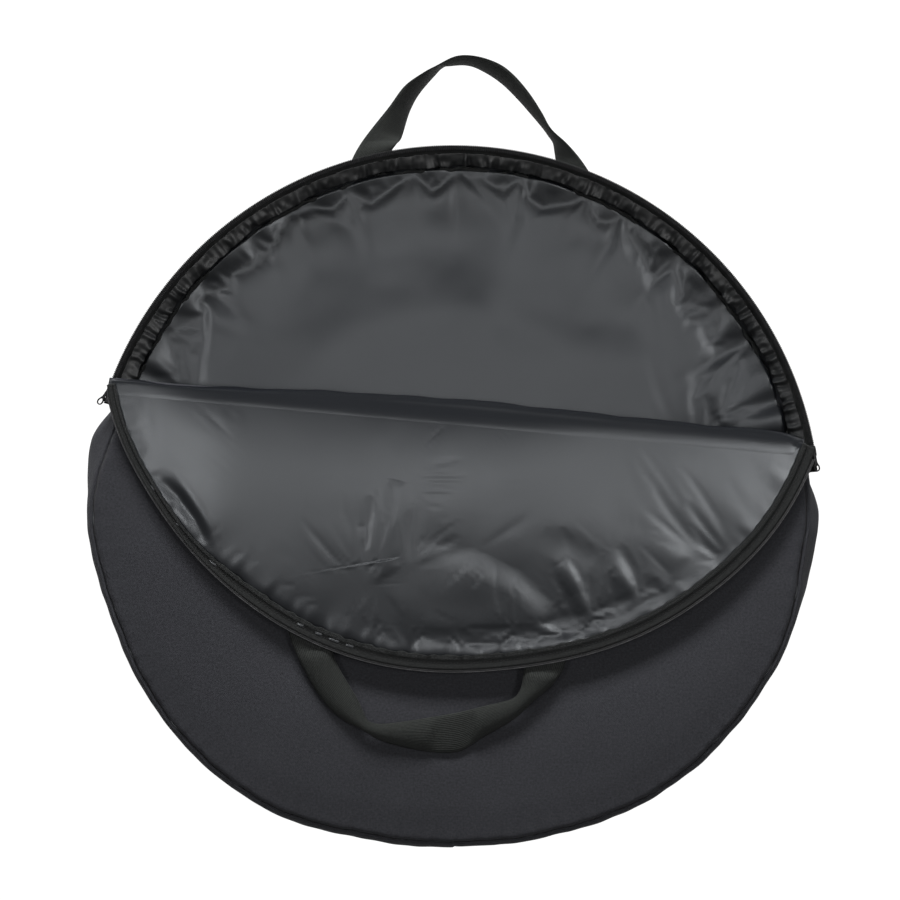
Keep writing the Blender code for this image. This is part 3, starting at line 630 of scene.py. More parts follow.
camera_and_stage()
plain_weave = weave_group()
webbing_ribs = rib_group()
SATIN_COLOURS = (0.0040, 0.0045, 0.0056), (0.0056, 0.0062, 0.0078)
SATIN_WEAVE = {"Across": 2400.0, "Along": 1700.0, "Slub": 0.75}
COOL = (0.93, 0.965, 1.0)
oxford = cloth_material(
    "oxford_cloth_charcoal", plain_weave, ((0.0125, 0.0128, 0.0146), (0.0430, 0.0438, 0.0497)), 0.88, 0.16, 0.5,
    {"Across": 1100.0, "Along": 1100.0, "Slub": 0.25}, sheen=0.03, patches=0.12,
)
satin = cloth_material(
    "satin_lining_grey", plain_weave, SATIN_COLOURS, 0.36, 0.98, 0.02, SATIN_WEAVE, patches=0.25, tint=COOL,
)
# A copy of the lining satin with less specular for the back's lining, so it shows darker: painted shade in the pocket.
back_satin_painted_shade = cloth_material(
    "satin_lining_back_painted_shade", plain_weave, SATIN_COLOURS, 0.36, 0.68, 0.02, SATIN_WEAVE, patches=0.25, tint=COOL,
)
# A lighter copy of the lining satin for the side walls: its paler base colour is a painted sheen on the steep walls.
side_satin_painted_sheen = cloth_material(
    "satin_lining_side_painted_sheen", plain_weave, ((0.0080, 0.0086, 0.0100), (0.0230, 0.0245, 0.0275)), 0.44, 0.9, 0.03,
    SATIN_WEAVE, patches=0.3, tint=COOL,
)
binding_cloth = cloth_material(
    "binding_tape_black", webbing_ribs, ((0.0100, 0.0107, 0.0107), (0.0320, 0.0333, 0.0330)), 0.80, 0.22, 0.7,
    {"Ribs": 1400.0, "Picks": 700.0},
)
binding_satin = cloth_material(
    "binding_tape_gloss", plain_weave, ((0.0040, 0.0045, 0.0048), (0.0120, 0.0127, 0.0135)), 0.47, 0.62, 0.05,
    SATIN_WEAVE, patches=0.2,
)
tape_cloth = cloth_material(
    "zipper_tape_black", webbing_ribs, ((0.0085, 0.0090, 0.0090), (0.0280, 0.0290, 0.0288)), 0.78, 0.22, 0.7,
    {"Ribs": 1100.0, "Picks": 1100.0},
)
webbing = cloth_material(
    "webbing_dark_grey", webbing_ribs, ((0.0085, 0.0093, 0.0088), (0.0270, 0.0288, 0.0272)), 0.78, 0.22, 0.9,
    {"Ribs": 520.0, "Picks": 900.0}, sheen=0.02,
)
thread = cloth_material(
    "sewing_thread_black", webbing_ribs, ((0.014, 0.014, 0.015), (0.040, 0.040, 0.042)), 0.6, 0.4, 0.4,
    {"Ribs": 2500.0, "Picks": 2500.0},
)
nylon = metal_material("zipper_coil_nylon_black", (0.0070, 0.0070, 0.0075), 0.45, 0.4)
# Nylon for the coil's cord, paler than the coil: a painted glint along the zipper's edge.
cord_nylon_painted_glint = metal_material("zipper_cord_nylon_painted_glint", (0.026, 0.026, 0.027), 0.50, 0.3)
black_metal = metal_material("slider_black_metal", (0.0045, 0.0045, 0.0050), 0.48, 0.25)


# The padded walls of the bag


def rim_inset(angle):
    """How far the front's seam lies inside the outline."""
    share = open_share(angle)
    return 16.0 * share + 6.0 * (1.0 - share)


def foot_inset(angle):
    """How far the back's seam lies inside the outline."""
    share = open_share(angle)
    return 20.0 * share + 9.0 * (1.0 - share)


def drawn_rim(angle):
    """The front's seam as it shows: well inside the outline beside the sliders, and close to it further down."""
    turn = upper_turn(angle)
    left = 14.0 * (1.0 - smooth((turn - 163.0) / 17.0))
    right = 8.0 * smooth((turn + 20.0) / 14.0)
    wobble = ripple(turn * 6.5, ((71.0, 0.6), (31.0, 0.4), (173.0, 0.8)), 101)
    return 5.6 + np.where(turn > 90.0, left, right) + wobble * 0.6


def edge_distance(x, y, radius_of):
    """How far a point lies inside the outline that radius_of gives by angle, along the ray from the centre."""
    return radius_of(np.degrees(np.arctan2(y, x))) - np.hypot(x, y)


def edge_round(centre, count, keeps):
    """Where rays from a centre, evenly spread by angle, leave the area that keeps(x, y) says, found by halving."""
    angle = np.linspace(0.0, 2 * np.pi, count, endpoint=False)
    ray = np.stack([np.cos(angle), np.sin(angle)], -1)
    low, high = np.zeros(count), np.full(count, 900.0)
    for _ in range(40):
        middle = (low + high) / 2
        inside = keeps(*(centre + ray * middle[:, None]).T)
        low, high = np.where(inside, middle, low), np.where(inside, high, middle)
    return centre + ray * low[:, None]


def front_wall():
    """The front below the fold: domed a little, rolled over at its seam, flat where the flap lies on it."""
    centre = np.array([8.0, -115.0])

    def inset(x, y):
        return edge_distance(x, y, lambda angle: radius_below(angle) - drawn_rim(angle))

    def keeps(x, y):
        beyond = np.stack([x, y], -1) @ FOLD_ACROSS - FOLD_DISTANCE
        return (inset(x, y) > 0) & (-beyond > 1.0)

    def sag(x, y, e):
        """The slack cloth sinks along the flap's lower edge, most of all in the middle."""
        dx, dy = x - FLAP_CENTRE[0], y - FLAP_CENTRE[1]
        turn = np.mod(np.degrees(np.arctan2(dy, dx)), 360.0)
        off = np.hypot(dx, dy) - 374.0
        share = 0.25 + 0.75 * smooth((turn - 222.0) / 32.0) * smooth((332.0 - turn) / 32.0)
        return 9.0 * share * np.exp(-((off / np.where(off > 0, 58.0, 60.0)) ** 2)) * smooth(e / 30.0)

    def top(x, y):
        e = np.maximum(inset(x, y), 0.0)
        rolled = np.sqrt(np.maximum(0.0, 1.0 - (1.0 - np.minimum(e / 6.0, 1.0)) ** 2))
        swell = 0.9 * lumps(x, y, 150.0, 3) + 0.35 * lumps(x, y, 48.0, 5) + 0.12 * lumps(x, y, 17.0, 9)
        arc = np.degrees(np.arctan2(y, x)) * 6.4
        pucker = np.exp(-e / 9.0) * smooth(e / 3.0) * ripple(arc, ((23.0, 0.36), (13.0, 0.2)), 7)
        return 60.3 + 4.4 * rolled + 2.0 * smooth(e / 40.0) + swell * smooth(e / 40.0) + pucker - sag(x, y, e)

    def bottom(x, y):
        e = np.maximum(inset(x, y), 0.0)
        return 59.6 + 0.7 * smooth(e / 20.0) + 0.4 * lumps(x, y, 60.0, 11) * smooth(e / 8.0) - sag(x, y, e)

    wall = pad("front_wall", edge_round(centre, 720, keeps), centre, top, bottom, [oxford, satin], rings=90)
    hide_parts("front_panel", "front_padding", "front_lining")
    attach(wall, "bag")


def back_radius(angle):
    """The back's outline, just inside its seam binding."""
    return radius_below(angle) - foot_inset(angle) + 0.5


def settle_back(form):
    """The part of the back's lining that shows above the fold, settled by the simulation."""
    x, y = np.meshgrid(np.arange(BACK_ORIGIN[0], 366.0, BACK_STEP), np.arange(BACK_ORIGIN[1], 366.0, BACK_STEP))
    e = edge_distance(x, y, back_radius)
    border = np.minimum(e, y - 24.0)
    pin = np.where(border < 4.0, 1.0, np.exp(-np.maximum(border - 4.0, 0.0) / 4.0))
    grow = 0.004 + 0.012 * np.exp(-np.maximum(e, 0.0) / 50.0)
    near = 0.4 + 0.6 * np.exp(-np.maximum(e, 0.0) / 70.0)
    z = form(x, y) + (0.7 * lumps(x, y, 38.0, 95) + 0.2 * lumps(x, y, 19.0, 96)) * near
    inside = (e > -5.0) & (y > 20.0)
    rise = settle("back_lining_settling", x, y, z, inside, pin, grow)
    return np.where(inside, rise + (z - form(x, y)) * smooth(border / 12.0), 0.0)


def back_wall():
    """The back: flat on the floor, its lining gathered into radial wrinkles towards the seam."""
    angle = np.linspace(0.0, 360.0, 1080, endpoint=False)
    edge = polar(back_radius(angle), angle, 0.0)[:, :2]

    def form(x, y):
        a = np.degrees(np.arctan2(y, x))
        e = np.maximum(edge_distance(x, y, back_radius), 0.0)
        arc = np.mod(a, 360.0) * 6.2
        reach = 36.0 + 16.0 * ripple(arc, ((97.0, 0.6), (61.0, 0.5)), 22)
        gathers = ripple(arc, ((61.0, 2.0), (37.0, 0.9), (23.0, 0.3), (110.0, 1.2)), 21) * np.exp(-((e / reach) ** 2))
        wide = 136.0 + 26.0 * ripple(arc, ((230.0, 0.6), (127.0, 0.4)), 24)
        # The rim's slope is steeper where the photo has it in the shade, at the left and above
        turn = upper_turn(a)
        left = smooth((turn - 80.0) / 40.0)
        shaded = left * smooth((176.0 - turn) / 8.0) + 0.75 * (1.0 - left) * smooth((turn - 10.0) / 20.0)
        high = 32.0 + 2.0 * ripple(arc, ((171.0, 1.0),), 26)
        hollow = 1.6 * lumps(x, y, 190.0, 23) + 0.3 * lumps(x, y, 70.0, 29)
        crown = 13.0 * smooth(e / 150.0) * (1.0 - np.exp(-e / 60.0))
        gentle, steep = 1.0 - smooth(e / wide), np.exp(-((e / 78.0) ** 1.15))
        cove = high * (gentle * (1.0 - shaded) + steep * shaded) * open_share(a)
        return 5.6 + crown + cove + gathers * (1.0 - 0.35 * shaded) + hollow * smooth(e / 60.0) * 0.6

    rise = settle_back(form)

    def top(x, y):
        return np.maximum(form(x, y) + sample(rise, BACK_ORIGIN, BACK_STEP, x, y), 2.2)

    def bottom(x, y):
        e = np.maximum(edge_distance(x, y, back_radius), 0.0)
        return 0.05 + 1.0 * np.exp(-e / 3.0)

    # The back's lining takes the dimmer satin copy, its darkness painted shade.
    wall = pad("back_wall", edge, np.array([0.0, 0.0]), top, bottom, [back_satin_painted_shade, oxford], rings=84, easing=0.8)
    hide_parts("back_panel", "back_padding", "back_lining")
    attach(wall, "bag")


def side_wall(name, start, end, open_top, replaced):
    """A length of the side band, closed: up its bulging outer face, over its top, and down its slack lining."""
    angle = np.arange(start, end + 0.01, 0.4)
    turn = upper_turn(angle)
    arc = angle[:, None] * 6.5
    # The outer face by height and inset, for the arc that opens and for the lower arc
    if open_top:
        share = drawn_share(angle)[:, None]
        level = np.array([1.4, 4.0, 9.0, 17.0, 27.0, 36.0, 42.0, 44.4])
        opened = np.array([20.0, 18.6, 17.0, 15.2, 13.8, 13.2, 13.0, 14.4])
        below = np.array([9.0, 7.2, 5.0, 2.4, 1.2, 1.0, 1.2, 1.8])
        top = 45.6 + 0 * angle[:, None]
    else:
        # Here the face ends at the seam with the front
        share = 0 * angle[:, None]
        level = np.array([1.4, 4.0, 10.0, 20.0, 31.0, 42.0, 51.0, 57.0, 60.2, 61.3, 60.2])
        opened = below = np.array([9.0, 6.6, 4.0, 1.6, 0.2, -0.8, -0.8, 0.2, 1.9, 3.6, 5.4])
        top = (56.6 + 4.0 * smooth(np.minimum(angle - start, end - angle) / 4.0))[:, None]
    columns = np.arange(len(level))
    fine = np.linspace(0, len(level) - 1, 3 * len(level) - 2)
    height = np.interp(fine, columns, level)[None]
    inset = np.interp(fine, columns, opened) * share + np.interp(fine, columns, below) * (1.0 - share)
    up = (height - height[:, :1]) / (height[:, -1:] - height[:, :1])
    z = 1.4 + up * (top - 1.4)
    middle = np.sin(np.pi * np.minimum(up, 1.0))
    swell = np.zeros(len(angle))
    if not open_top:
        # The top leans in to the seam wherever that lies further in
        inset = inset + (drawn_rim(angle)[:, None] - 5.2) * smooth((up - 0.55) / 0.45) ** 1.3
        inset = inset + 6.0 * (1 - smooth((turn[:, None] - 163.0) / 9.0)) * (turn[:, None] > 90) * (1 - up) ** 2
        meeting = np.where(turn > 90.0, 1.0 - smooth((turn - 161.0) / 8.0), smooth((turn + 0.5) / 8.0))
        inset = inset + 8.0 * meeting[:, None] * (1.0 - smooth((up - 0.7) / 0.3))
        left, lowest = np.exp(-(((turn - 168.0) / 7.0) ** 2)), np.exp(-(((turn + 90.0) / 60.0) ** 2))
        swell = (3.2 + 5.0 * left - 2.0 * lowest) * (1.0 - meeting)
    puckers = ripple(arc, ((37.0, 0.7), (21.0, 0.5), (64.0, 0.7)), 31) * (1.0 - middle) ** 2
    puckers = puckers * (1.0 - 0.7 * smooth(up * 2.0 - 1.0))
    waves = ripple(arc + z * 1.5, ((120.0, 0.8), (67.0, 0.5), (33.0, 0.25)), 33) * middle
    outer = radius_below(angle)[:, None] - inset - puckers * 0.6 + waves * 0.6 + swell[:, None] * middle
    # The lining hangs in slack folds, most of all above the back seam
    slack = 1.0 + 0.35 * ripple(arc, ((83.0, 0.5), (47.0, 0.5), (29.0, 0.3)), 37)
    slack = ((3.0 if open_top else 4.0) + 4.0 * middle) * slack
    folds = ripple(arc + 9.0 * up, ((57.0, 0.9), (34.0, 0.6), (22.0, 0.3)), 35) * middle
    radius = np.concatenate([outer, (outer - slack + folds)[:, ::-1]], axis=1)
    points = polar(radius, angle[:, None], np.concatenate([z, z[:, ::-1]], axis=1))
    around = lengths_along(closed(points[len(angle) // 2]))
    kinds = (np.arange(len(around) - 1) >= len(fine)).astype(int)
    end_face = np.stack([around[:-1], 0 * around[:-1]], -1)
    # The walls' lining takes the lighter satin copy, its paleness a painted sheen.
    made = loft(name, points, angle * 6.5, around, [oxford, side_satin_painted_sheen], (end_face, end_face), kinds)
    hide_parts(*replaced)
    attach(made, "bag")


front_wall()
back_wall()
side_wall("side_wall_lower", JOIN_LEFT - 2.0, JOIN_RIGHT + 2.4, False, ("side_band_lower", "side_lining_lower"))
side_wall("side_wall_upper", 6.2, 162.8, True, ("side_band_upper", "side_lining_upper"))


# The flap and the fold it turns on


def fold_coordinates(x, y):
    """How far along the fold line a point lies, and how far below it."""
    a = (x - FOLD_PLACE[0]) * FOLD_ALONG[0] + (y - FOLD_PLACE[1]) * FOLD_ALONG[1]
    b = -((x - FOLD_PLACE[0]) * FOLD_ACROSS[0] + (y - FOLD_PLACE[1]) * FOLD_ACROSS[1])
    return a, b


def at_fold(a, n):
    """x and y of places that lie a along the fold line and n above it."""
    return [FOLD_PLACE[i] + a * FOLD_ALONG[i] + n * FOLD_ACROSS[i] for i in (0, 1)]


def crest(a):
    """How far the fold bulges past the fold line, along it."""
    along = (-372.0, -345.0, -303.0, -230.0, -138.0, -60.0, 6.0, 90.0, 183.0, 273.0, 318.0, 336.0, 356.0)
    bulge = (-1.3, -0.6, -1.6, 1.5, 6.2, 8.2, 10.0, 8.6, 7.1, 6.0, 6.0, 4.6, -1.0)
    return cubic(np.array(along), np.array(bulge), a)


def edge_spread(turn):
    """How much wider than its circle the open flap's edge lies, by angle round the flap's centre."""
    t = np.mod(turn, 360.0)
    corners = 4.0 * np.exp(-(((t - 324.0) / 13.0) ** 2)) + 3.0 * np.exp(-(((t - 199.0) / 9.0) ** 2))
    return 8.0 * (1.0 - np.exp(-(((t - 277.0) / 19.0) ** 2))) + corners


def squeezed(turn, radius):
    """How far a ring of the bound edge moves outwards where the edge is folded narrow, at the left."""
    narrow = 7.0 * (1.0 - smooth((np.mod(turn, 360.0) - 217.0) / 18.0))
    return narrow * np.clip((374.4 - radius) / 17.8, 0.0, 1.0)


def inside_flap(x, y):
    """How far a point lies inside the lining's edge on the open flap, and its angle round the flap's centre."""
    dx, dy = x - FLAP_CENTRE[0], y - FLAP_CENTRE[1]
    turn = np.mod(np.degrees(np.arctan2(dy, dx)), 360.0)
    return LINING_EDGE + edge_spread(turn) + squeezed(turn, LINING_EDGE) - np.hypot(dx, dy), turn


# The flap's soft folds, each as its line on the picture's grid, its width and its height
FLAP_STEP_LINE = (566, 646), (545, 612), (512, 580), (470, 560), (425, 552), (402, 556)
FLAP_RIDGES = (
    (((402, 478), (396, 505), (389, 530), (385, 556), (386, 585)), 14.0, 2.6),
    (((352, 600), (400, 622), (455, 628), (505, 618)), 15.0, 2.4),
    (((560, 560), (578, 590), (590, 622)), 9.0, 2.4),
    (((604, 548), (622, 576), (640, 604)), 10.0, 2.0),
    (((618, 520), (668, 534), (712, 552), (742, 566)), 13.0, -2.2),
    (((540, 530), (580, 548), (640, 566)), 17.0, -2.0),
    (((300, 505), (350, 515), (392, 530)), 26.0, -1.8),
    (((160, 478), (180, 496), (196, 518), (210, 545)), 6.0, -2.2),
    (((176, 470), (196, 500), (216, 532)), 7.0, 1.2),
    (((700, 408), (745, 418), (790, 440)), 12.0, -0.8),
)


def flap_form(x, y):
    """Height of the open flap's lining: it rises from the fold over a soft shoulder, gathered along its bound edge."""
    a, b = fold_coordinates(x, y)
    e, turn = inside_flap(x, y)
    e = np.maximum(e, 0.0)
    b = np.maximum(b, 0.0)
    reach = 25.0 + 4.0 * np.exp(-(((a + 100.0) / 140.0) ** 2)) - 10.0 * smooth((a - 20.0) / 240.0)
    shoulder = 1.0 - np.exp(-b / (0.56 * reach))
    z = 72.6 + (9.4 - 6.0 * smooth((a + 20.0) / 220.0)) * (0.2 + 0.8 * smooth((a + 335.0) / 110.0)) * shoulder
    z = z - (z - 74.6) * shoulder * np.exp(-((e / 15.0) ** 0.9))
    z = z - (0.5 + 7.7 * smooth((a + 180.0) / 240.0)) * smooth((b - 95.0) / 150.0) * smooth(e / 30.0)
    inner = smooth(b / 50.0) * smooth(e / 40.0)
    z = z + (1.6 * lumps(x, y, 150.0, 41) + 0.7 * lumps(x, y, 62.0, 47)) * inner
    z = z + fold_ridge(x, y, *FLAP_RIDGES[0])
    z = z + fold_step(x, y, FLAP_STEP_LINE, 30.0, 4.6, 66.0)
    for ridge in FLAP_RIDGES[1:]:
        z = z + fold_ridge(x, y, *ridge)
    arc = turn * 6.3
    dense = 0.25 + 0.5 * np.exp(-(((turn - 262.0) / 30.0) ** 2))
    gathers = ripple(arc, ((19.0, 0.4), (31.0, 0.8), (47.0, 1.0), (13.0, 0.25)), 43)
    reach = 16.0 + 9.0 * ripple(arc, ((83.0, 0.6), (53.0, 0.5)), 44)
    return z + gathers * np.exp(-((e / reach) ** 2)) * smooth(e / 3.0) * dense


def settle_flap():
    """The flap's lining settled by the simulation, sewn along its bound edge and held at the fold."""
    x, y = np.meshgrid(np.arange(FLAP_ORIGIN[0], 387.0, FLAP_STEP), np.arange(FLAP_ORIGIN[1], 150.0, FLAP_STEP))
    e, b = inside_flap(x, y)[0], fold_coordinates(x, y)[1]
    border = np.minimum(e, b - 2.0)
    pin = np.where(border < 5.0, 1.0, np.exp(-np.maximum(border - 5.0, 0.0) / 6.0))
    low = smooth((b - 30.0) / 90.0)
    grow = 0.003 + 0.003 * low + 0.014 * np.exp(-np.maximum(e, 0.0) / 40.0)
    z = flap_form(x, y) + (0.6 * lumps(x, y, 40.0, 91) + 0.15 * lumps(x, y, 18.0, 92)) * (0.3 + 0.7 * low)
    inside = (e > -4.0) & (b > -3.0)
    rise = settle("flap_lining_settling", x, y, z, inside, pin, grow)
    return np.where(inside, rise + (z - flap_form(x, y)) * smooth(border / 12.0), 0.0)


FLAP_RISE = settle_flap()


def flap_top(x, y):
    """The settled lining's height, eased off above 83 mm and below 73.5 mm."""
    z = flap_form(x, y) + sample(FLAP_RISE, FLAP_ORIGIN, FLAP_STEP, x, y)
    z = np.minimum(z, 83.0) + 4.2 * np.tanh(np.maximum(z - 83.0, 0.0) / 4.2)
    return np.maximum(z, 73.5) - 2.0 * np.tanh(np.maximum(73.5 - z, 0.0) / 2.0)


def flap_wall():
    """The open flap: the lining above, and the outer cloth below, closed at the fold and at the bound edge."""
    centre = FOLD_PLACE - FOLD_ACROSS * 110.0

    def keeps(x, y):
        return (inside_flap(x, y)[0] > 0) & (fold_coordinates(x, y)[1] > 3.0)

    def top(x, y):
        b = fold_coordinates(x, y)[1]
        return flap_top(x, y) - 2.5 * (1.0 - smooth((b - 3.0) / 6.0))

    def bottom(x, y):
        e = np.maximum(inside_flap(x, y)[0], 0.0)
        b = np.maximum(fold_coordinates(x, y)[1] - 3.0, 0.0)
        sunk = 1.2 + 0.4 * lumps(x, y, 130.0, 55) + 0.15 * lumps(x, y, 45.0, 56)
        return 70.4 - sunk * smooth(e / 90.0) * smooth(b / 60.0)

    wall = pad("flap_wall", edge_round(centre, 900, keeps), centre, top, bottom, [satin, oxford], rings=120)
    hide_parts("flap_panel", "flap_padding", "flap_lining")
    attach(wall, "flap")


def fold_roll():
    """The bend between front and flap: lining round the outside and on over the flap, outer cloth round the inside."""
    a = np.linspace(-364.0, 352.0, 260)[:, None]
    ends = 1.0 - 0.75 * np.maximum(smooth((-358.0 - a) / 6.0), smooth((a - 338.0) / 14.0))
    out = crest(a)
    phi = np.linspace(0.0, np.pi, 27)
    wave = ripple(a, ((90.0, 0.5), (47.0, 0.25)), 51) * np.sin(phi)
    foot, reach = -6.0, -24.0
    lining_n = foot + (out + wave - foot) * np.sin(phi) ** 0.6
    lining_z = FOLD_Z - (7.4 * np.cos(phi)) * ends
    beyond = np.linspace(0.0, 1.0, 12)[1:]
    over_n = foot + (reach - foot) * beyond + 0 * a
    lift = 0.25 - 0.7 * smooth(beyond * 1.6 - 0.6)
    over_z = flap_top(*at_fold(a, over_n)) + lift - 1.6 * (1.0 - ends)
    # Round the shoulder the roll takes up the flap's own height
    late = smooth((phi - 1.9) / 1.0)
    risen = late * (flap_top(*at_fold(a, lining_n)) + 0.25 - 72.6)
    lining_z = lining_z + (risen - 2.8 * smooth((phi - 1.2) / 1.2)) * ends
    back_n = np.linspace(reach, foot, 8)[1:] + 0 * a
    back_z = 70.7 + 0 * back_n
    cloth_n = foot + (0.4 * out - foot) * np.sin(phi[::-1]) ** 0.8
    cloth_z = FOLD_Z - 2.3 * np.cos(phi[::-1]) * ends
    across = np.concatenate([lining_n, over_n, back_n, cloth_n[:, 1:]], axis=1)
    z = np.concatenate([lining_z, np.maximum(over_z, 71.2), back_z, cloth_z[:, 1:]], axis=1)
    points = np.stack([*at_fold(a, across), z], -1)
    around = lengths_along(closed(points[110]))
    kinds = (np.arange(len(around) - 1) >= len(phi) + len(beyond)).astype(int)
    end_face = np.stack([around[:-1], 0 * around[:-1]], -1)
    made = loft("fold_roll", points, a[:, 0], around, [satin, oxford], (end_face, end_face), kinds)
    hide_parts("fold_outer", "fold_padding", "fold_lining")
    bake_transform(made)


flap_wall()
fold_roll()


# Bindings, tapes and the zipper's coils


def ring_strip(name, angle, profile, finish, body, replaced, open_flap=False, loop=False, wave=None):
    """A cloth strip round the bag: a closed profile of (radius, z) pairs carried by angle, with its ruffle added."""
    profile = np.asarray(profile, float)
    radius = profile[None, :, 0] + 0 * angle[:, None]
    z = profile[None, :, 1] + 0 * angle[:, None]
    if wave is not None:
        dr, dz = wave(angle, profile)
        radius, z = radius + dr, z + dz
    points = polar(radius, angle[:, None], z)
    if open_flap:
        points = half_turn(points)
    if loop:
        points = points[:-1]
    made = loft(name, points, angle * 6.4, lengths_along(closed(profile)), [finish], (profile, profile), loop=loop)
    if replaced:
        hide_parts(*replaced)
    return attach(made, body)


def ribbon_profile(r0, z0, r1, z1, thickness, steps=6):
    """A thin flat profile between two points, with its thickness across it."""
    along = np.array([r1 - r0, z1 - z0])
    along = along / np.linalg.norm(along)
    across = np.array([-along[1], along[0]]) * thickness / 2
    t = np.linspace(0.0, 1.0, steps)[:, None]
    middle = np.array([r0, z0]) + t * np.array([r1 - r0, z1 - z0])
    return np.concatenate([middle + across, (middle - across)[::-1]])


def coil(name, radius_root, radius_tip, angles, body, replaced, open_flap=False):
    """A nylon zipper coil: flattened loops, one each pitch, swept on as one continuous wire."""
    start, end = angles
    length = math.radians(end - start) * (radius_root + radius_tip) / 2
    loops = int(length / COIL_PITCH)
    per_loop = 10
    t = np.arange(loops * per_loop + 1) / per_loop
    turn = 2 * np.pi * t
    angle = start + (end - start) * t / loops
    middle, half = (radius_root + radius_tip) / 2, (radius_tip - radius_root) / 2
    squeezed = np.sign(np.cos(turn)) * np.abs(np.cos(turn)) ** 0.8
    radius = middle + half * squeezed
    height = COIL_Z + 0.95 * np.sin(turn)
    path = polar(radius, angle, height)
    if open_flap:
        path = path + polar(edge_spread(-2 * math.degrees(FOLD_TURN) - angle), angle, 0.0)
        path = half_turn(path)
    tangent = frames_along(path)
    side = np.cross(tangent, np.array([0.0, 0.0, 1.0]))
    side /= np.linalg.norm(side, axis=1, keepdims=True)
    up = np.cross(side, tangent)
    made = tube_along(name, path, side, up, oval(5, COIL_WIRE, COIL_WIRE), [nylon])
    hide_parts(replaced)
    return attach(made, body)


def dashes(name, path, normal, body):
    """Stitches: short rounded bars laid along a path, each sunk at both ends."""
    along = lengths_along(path)
    count = int(along[-1] / (STITCH_LENGTH + STITCH_GAP))
    starts = (np.arange(count) + 0.5) * along[-1] / count
    stations = np.linspace(-0.5, 0.5, 4)
    at = starts[:, None] + stations * STITCH_LENGTH
    mid = np.stack([np.interp(at, along, path[:, i]) for i in range(3)], -1)
    out = np.stack([np.interp(at, along, normal[:, i]) for i in range(3)], -1)
    bow = 0.35 * (1.0 - (2 * np.abs(stations)) ** 2)
    mid = mid + out * bow[None, :, None]
    tangent = mid[:, -1] - mid[:, 0]
    tangent /= np.linalg.norm(tangent, axis=1, keepdims=True)
    side = np.cross(tangent, out[:, 1])
    side /= np.linalg.norm(side, axis=1, keepdims=True)
    k = np.arange(5) * 2 * np.pi / 5
    size = STITCH_RADIUS * np.array([0.45, 1.0, 1.0, 0.45])
    ring = np.cos(k)[:, None] * side[:, None, None] + np.sin(k)[:, None] * out[:, 1][:, None, None]
    points = mid[:, :, None] + ring * size[None, :, None, None]
    faces_one, _ = grid_faces(4, 6)
    caps = [[4, 3, 2, 1, 0], [15, 16, 17, 18, 19]]
    base = np.arange(count)[:, None, None] * 20
    quads = (faces_one[None] + base).reshape(-1, 4).tolist()
    ends = [[c + 20 * n for c in cap] for n in range(count) for cap in caps]
    faces = quads + ends
    flat = points.reshape(-1, 3)
    order = np.concatenate([np.array(f) for f in faces])
    made = make_object(name, flat, faces, flat[order][:, :2], [thread])
    turn_outwards(made)
    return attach(made, body)


def flap_trim():
    """The flap's bound edge: a ruffled binding over the lining's border, the zipper tape, and two rows of stitches."""
    angle = np.arange(12.4, 157.5, 0.2)

    def spread(a, radius):
        turn = -2 * math.degrees(FOLD_TURN) - a
        return edge_spread(turn) + squeezed(turn, radius)

    def wider(a, profile):
        return spread(a[:, None], profile[None, :, 0]), 0.0

    def ruffle(a, profile):
        inner = np.clip((361.0 - profile[:, 0]) / 4.5, 0.0, 1.0)[None]
        low = 0.20 + 0.50 * np.exp(-(((a - 86.0) / 34.0) ** 2))
        wave = (ripple(a * 6.4, ((17.0, 0.9), (11.0, 0.5), (41.0, 0.8)), 61) * low)[:, None]
        lift = (ripple(a * 6.4, ((23.0, 0.9), (14.0, 0.7), (9.0, 0.3)), 63) * low)[:, None]
        return wave * inner + spread(a[:, None], profile[None, :, 0]), -np.abs(lift) * inner - 0.35 * inner

    flange = ribbon_profile(356.6, 59.2, 361.6, 59.6, 0.9, 7)
    ring_strip(
        "flap_edge_binding", angle, flange, binding_cloth, "flap", ("flap_binding",), open_flap=True, wave=ruffle
    )
    rising = ribbon_profile(361.0, 60.2, 361.6, 66.2, 1.0, 5)
    ring_strip("flap_edge_wall", angle, rising, binding_cloth, "flap", (), open_flap=True, wave=wider)
    tape = ribbon_profile(361.4, 61.0, 371.6, 61.2, 0.6, 6)
    peeking = oval(8, 1.7, 0.22, (363.5, 61.35))

    def bulges(a, profile):
        shown = smooth(lumps(a * 6.4, 0 * a, 9.0, 65) * 2.4 - 0.5)
        shown = shown * smooth((a - 92.0) / 12.0) * smooth((146.0 - a) / 8.0)
        return spread(a[:, None], profile[None, :, 0]), (-1.0 * shown)[:, None] + 0 * profile[None, :, 1]

    ring_strip("flap_edge_puckers", angle, peeking, satin, "flap", (), open_flap=True, wave=bulges)
    ring_strip("flap_zipper_tape", angle, tape, tape_cloth, "flap", ("zipper_tape_flap",), open_flap=True, wave=wider)
    # The cord is real; its paler nylon is a painted glint along the coil's outer edge.
    cord = oval(8, 0.6, 0.6, (374.2, 61.6))
    base = ribbon_profile(371.2, 61.45, 374.4, 61.5, 0.3, 3)
    ring_strip("flap_zipper_cord", angle[8:-8], cord, cord_nylon_painted_glint, "flap", (), open_flap=True, wave=wider)
    ring_strip("flap_zipper_base", angle[8:-8], base, nylon, "flap", (), open_flap=True, wave=wider)
    straight_up = np.tile([0.0, 0.0, 1.0], (len(angle), 1))
    for label, radius, z in (("binding", 359.6, 58.95), ("tape", 364.6, 60.75)):
        path = half_turn(polar(radius + spread(angle, radius), angle, z))
        dashes("flap_%s_stitches" % label, path, straight_up, "flap")


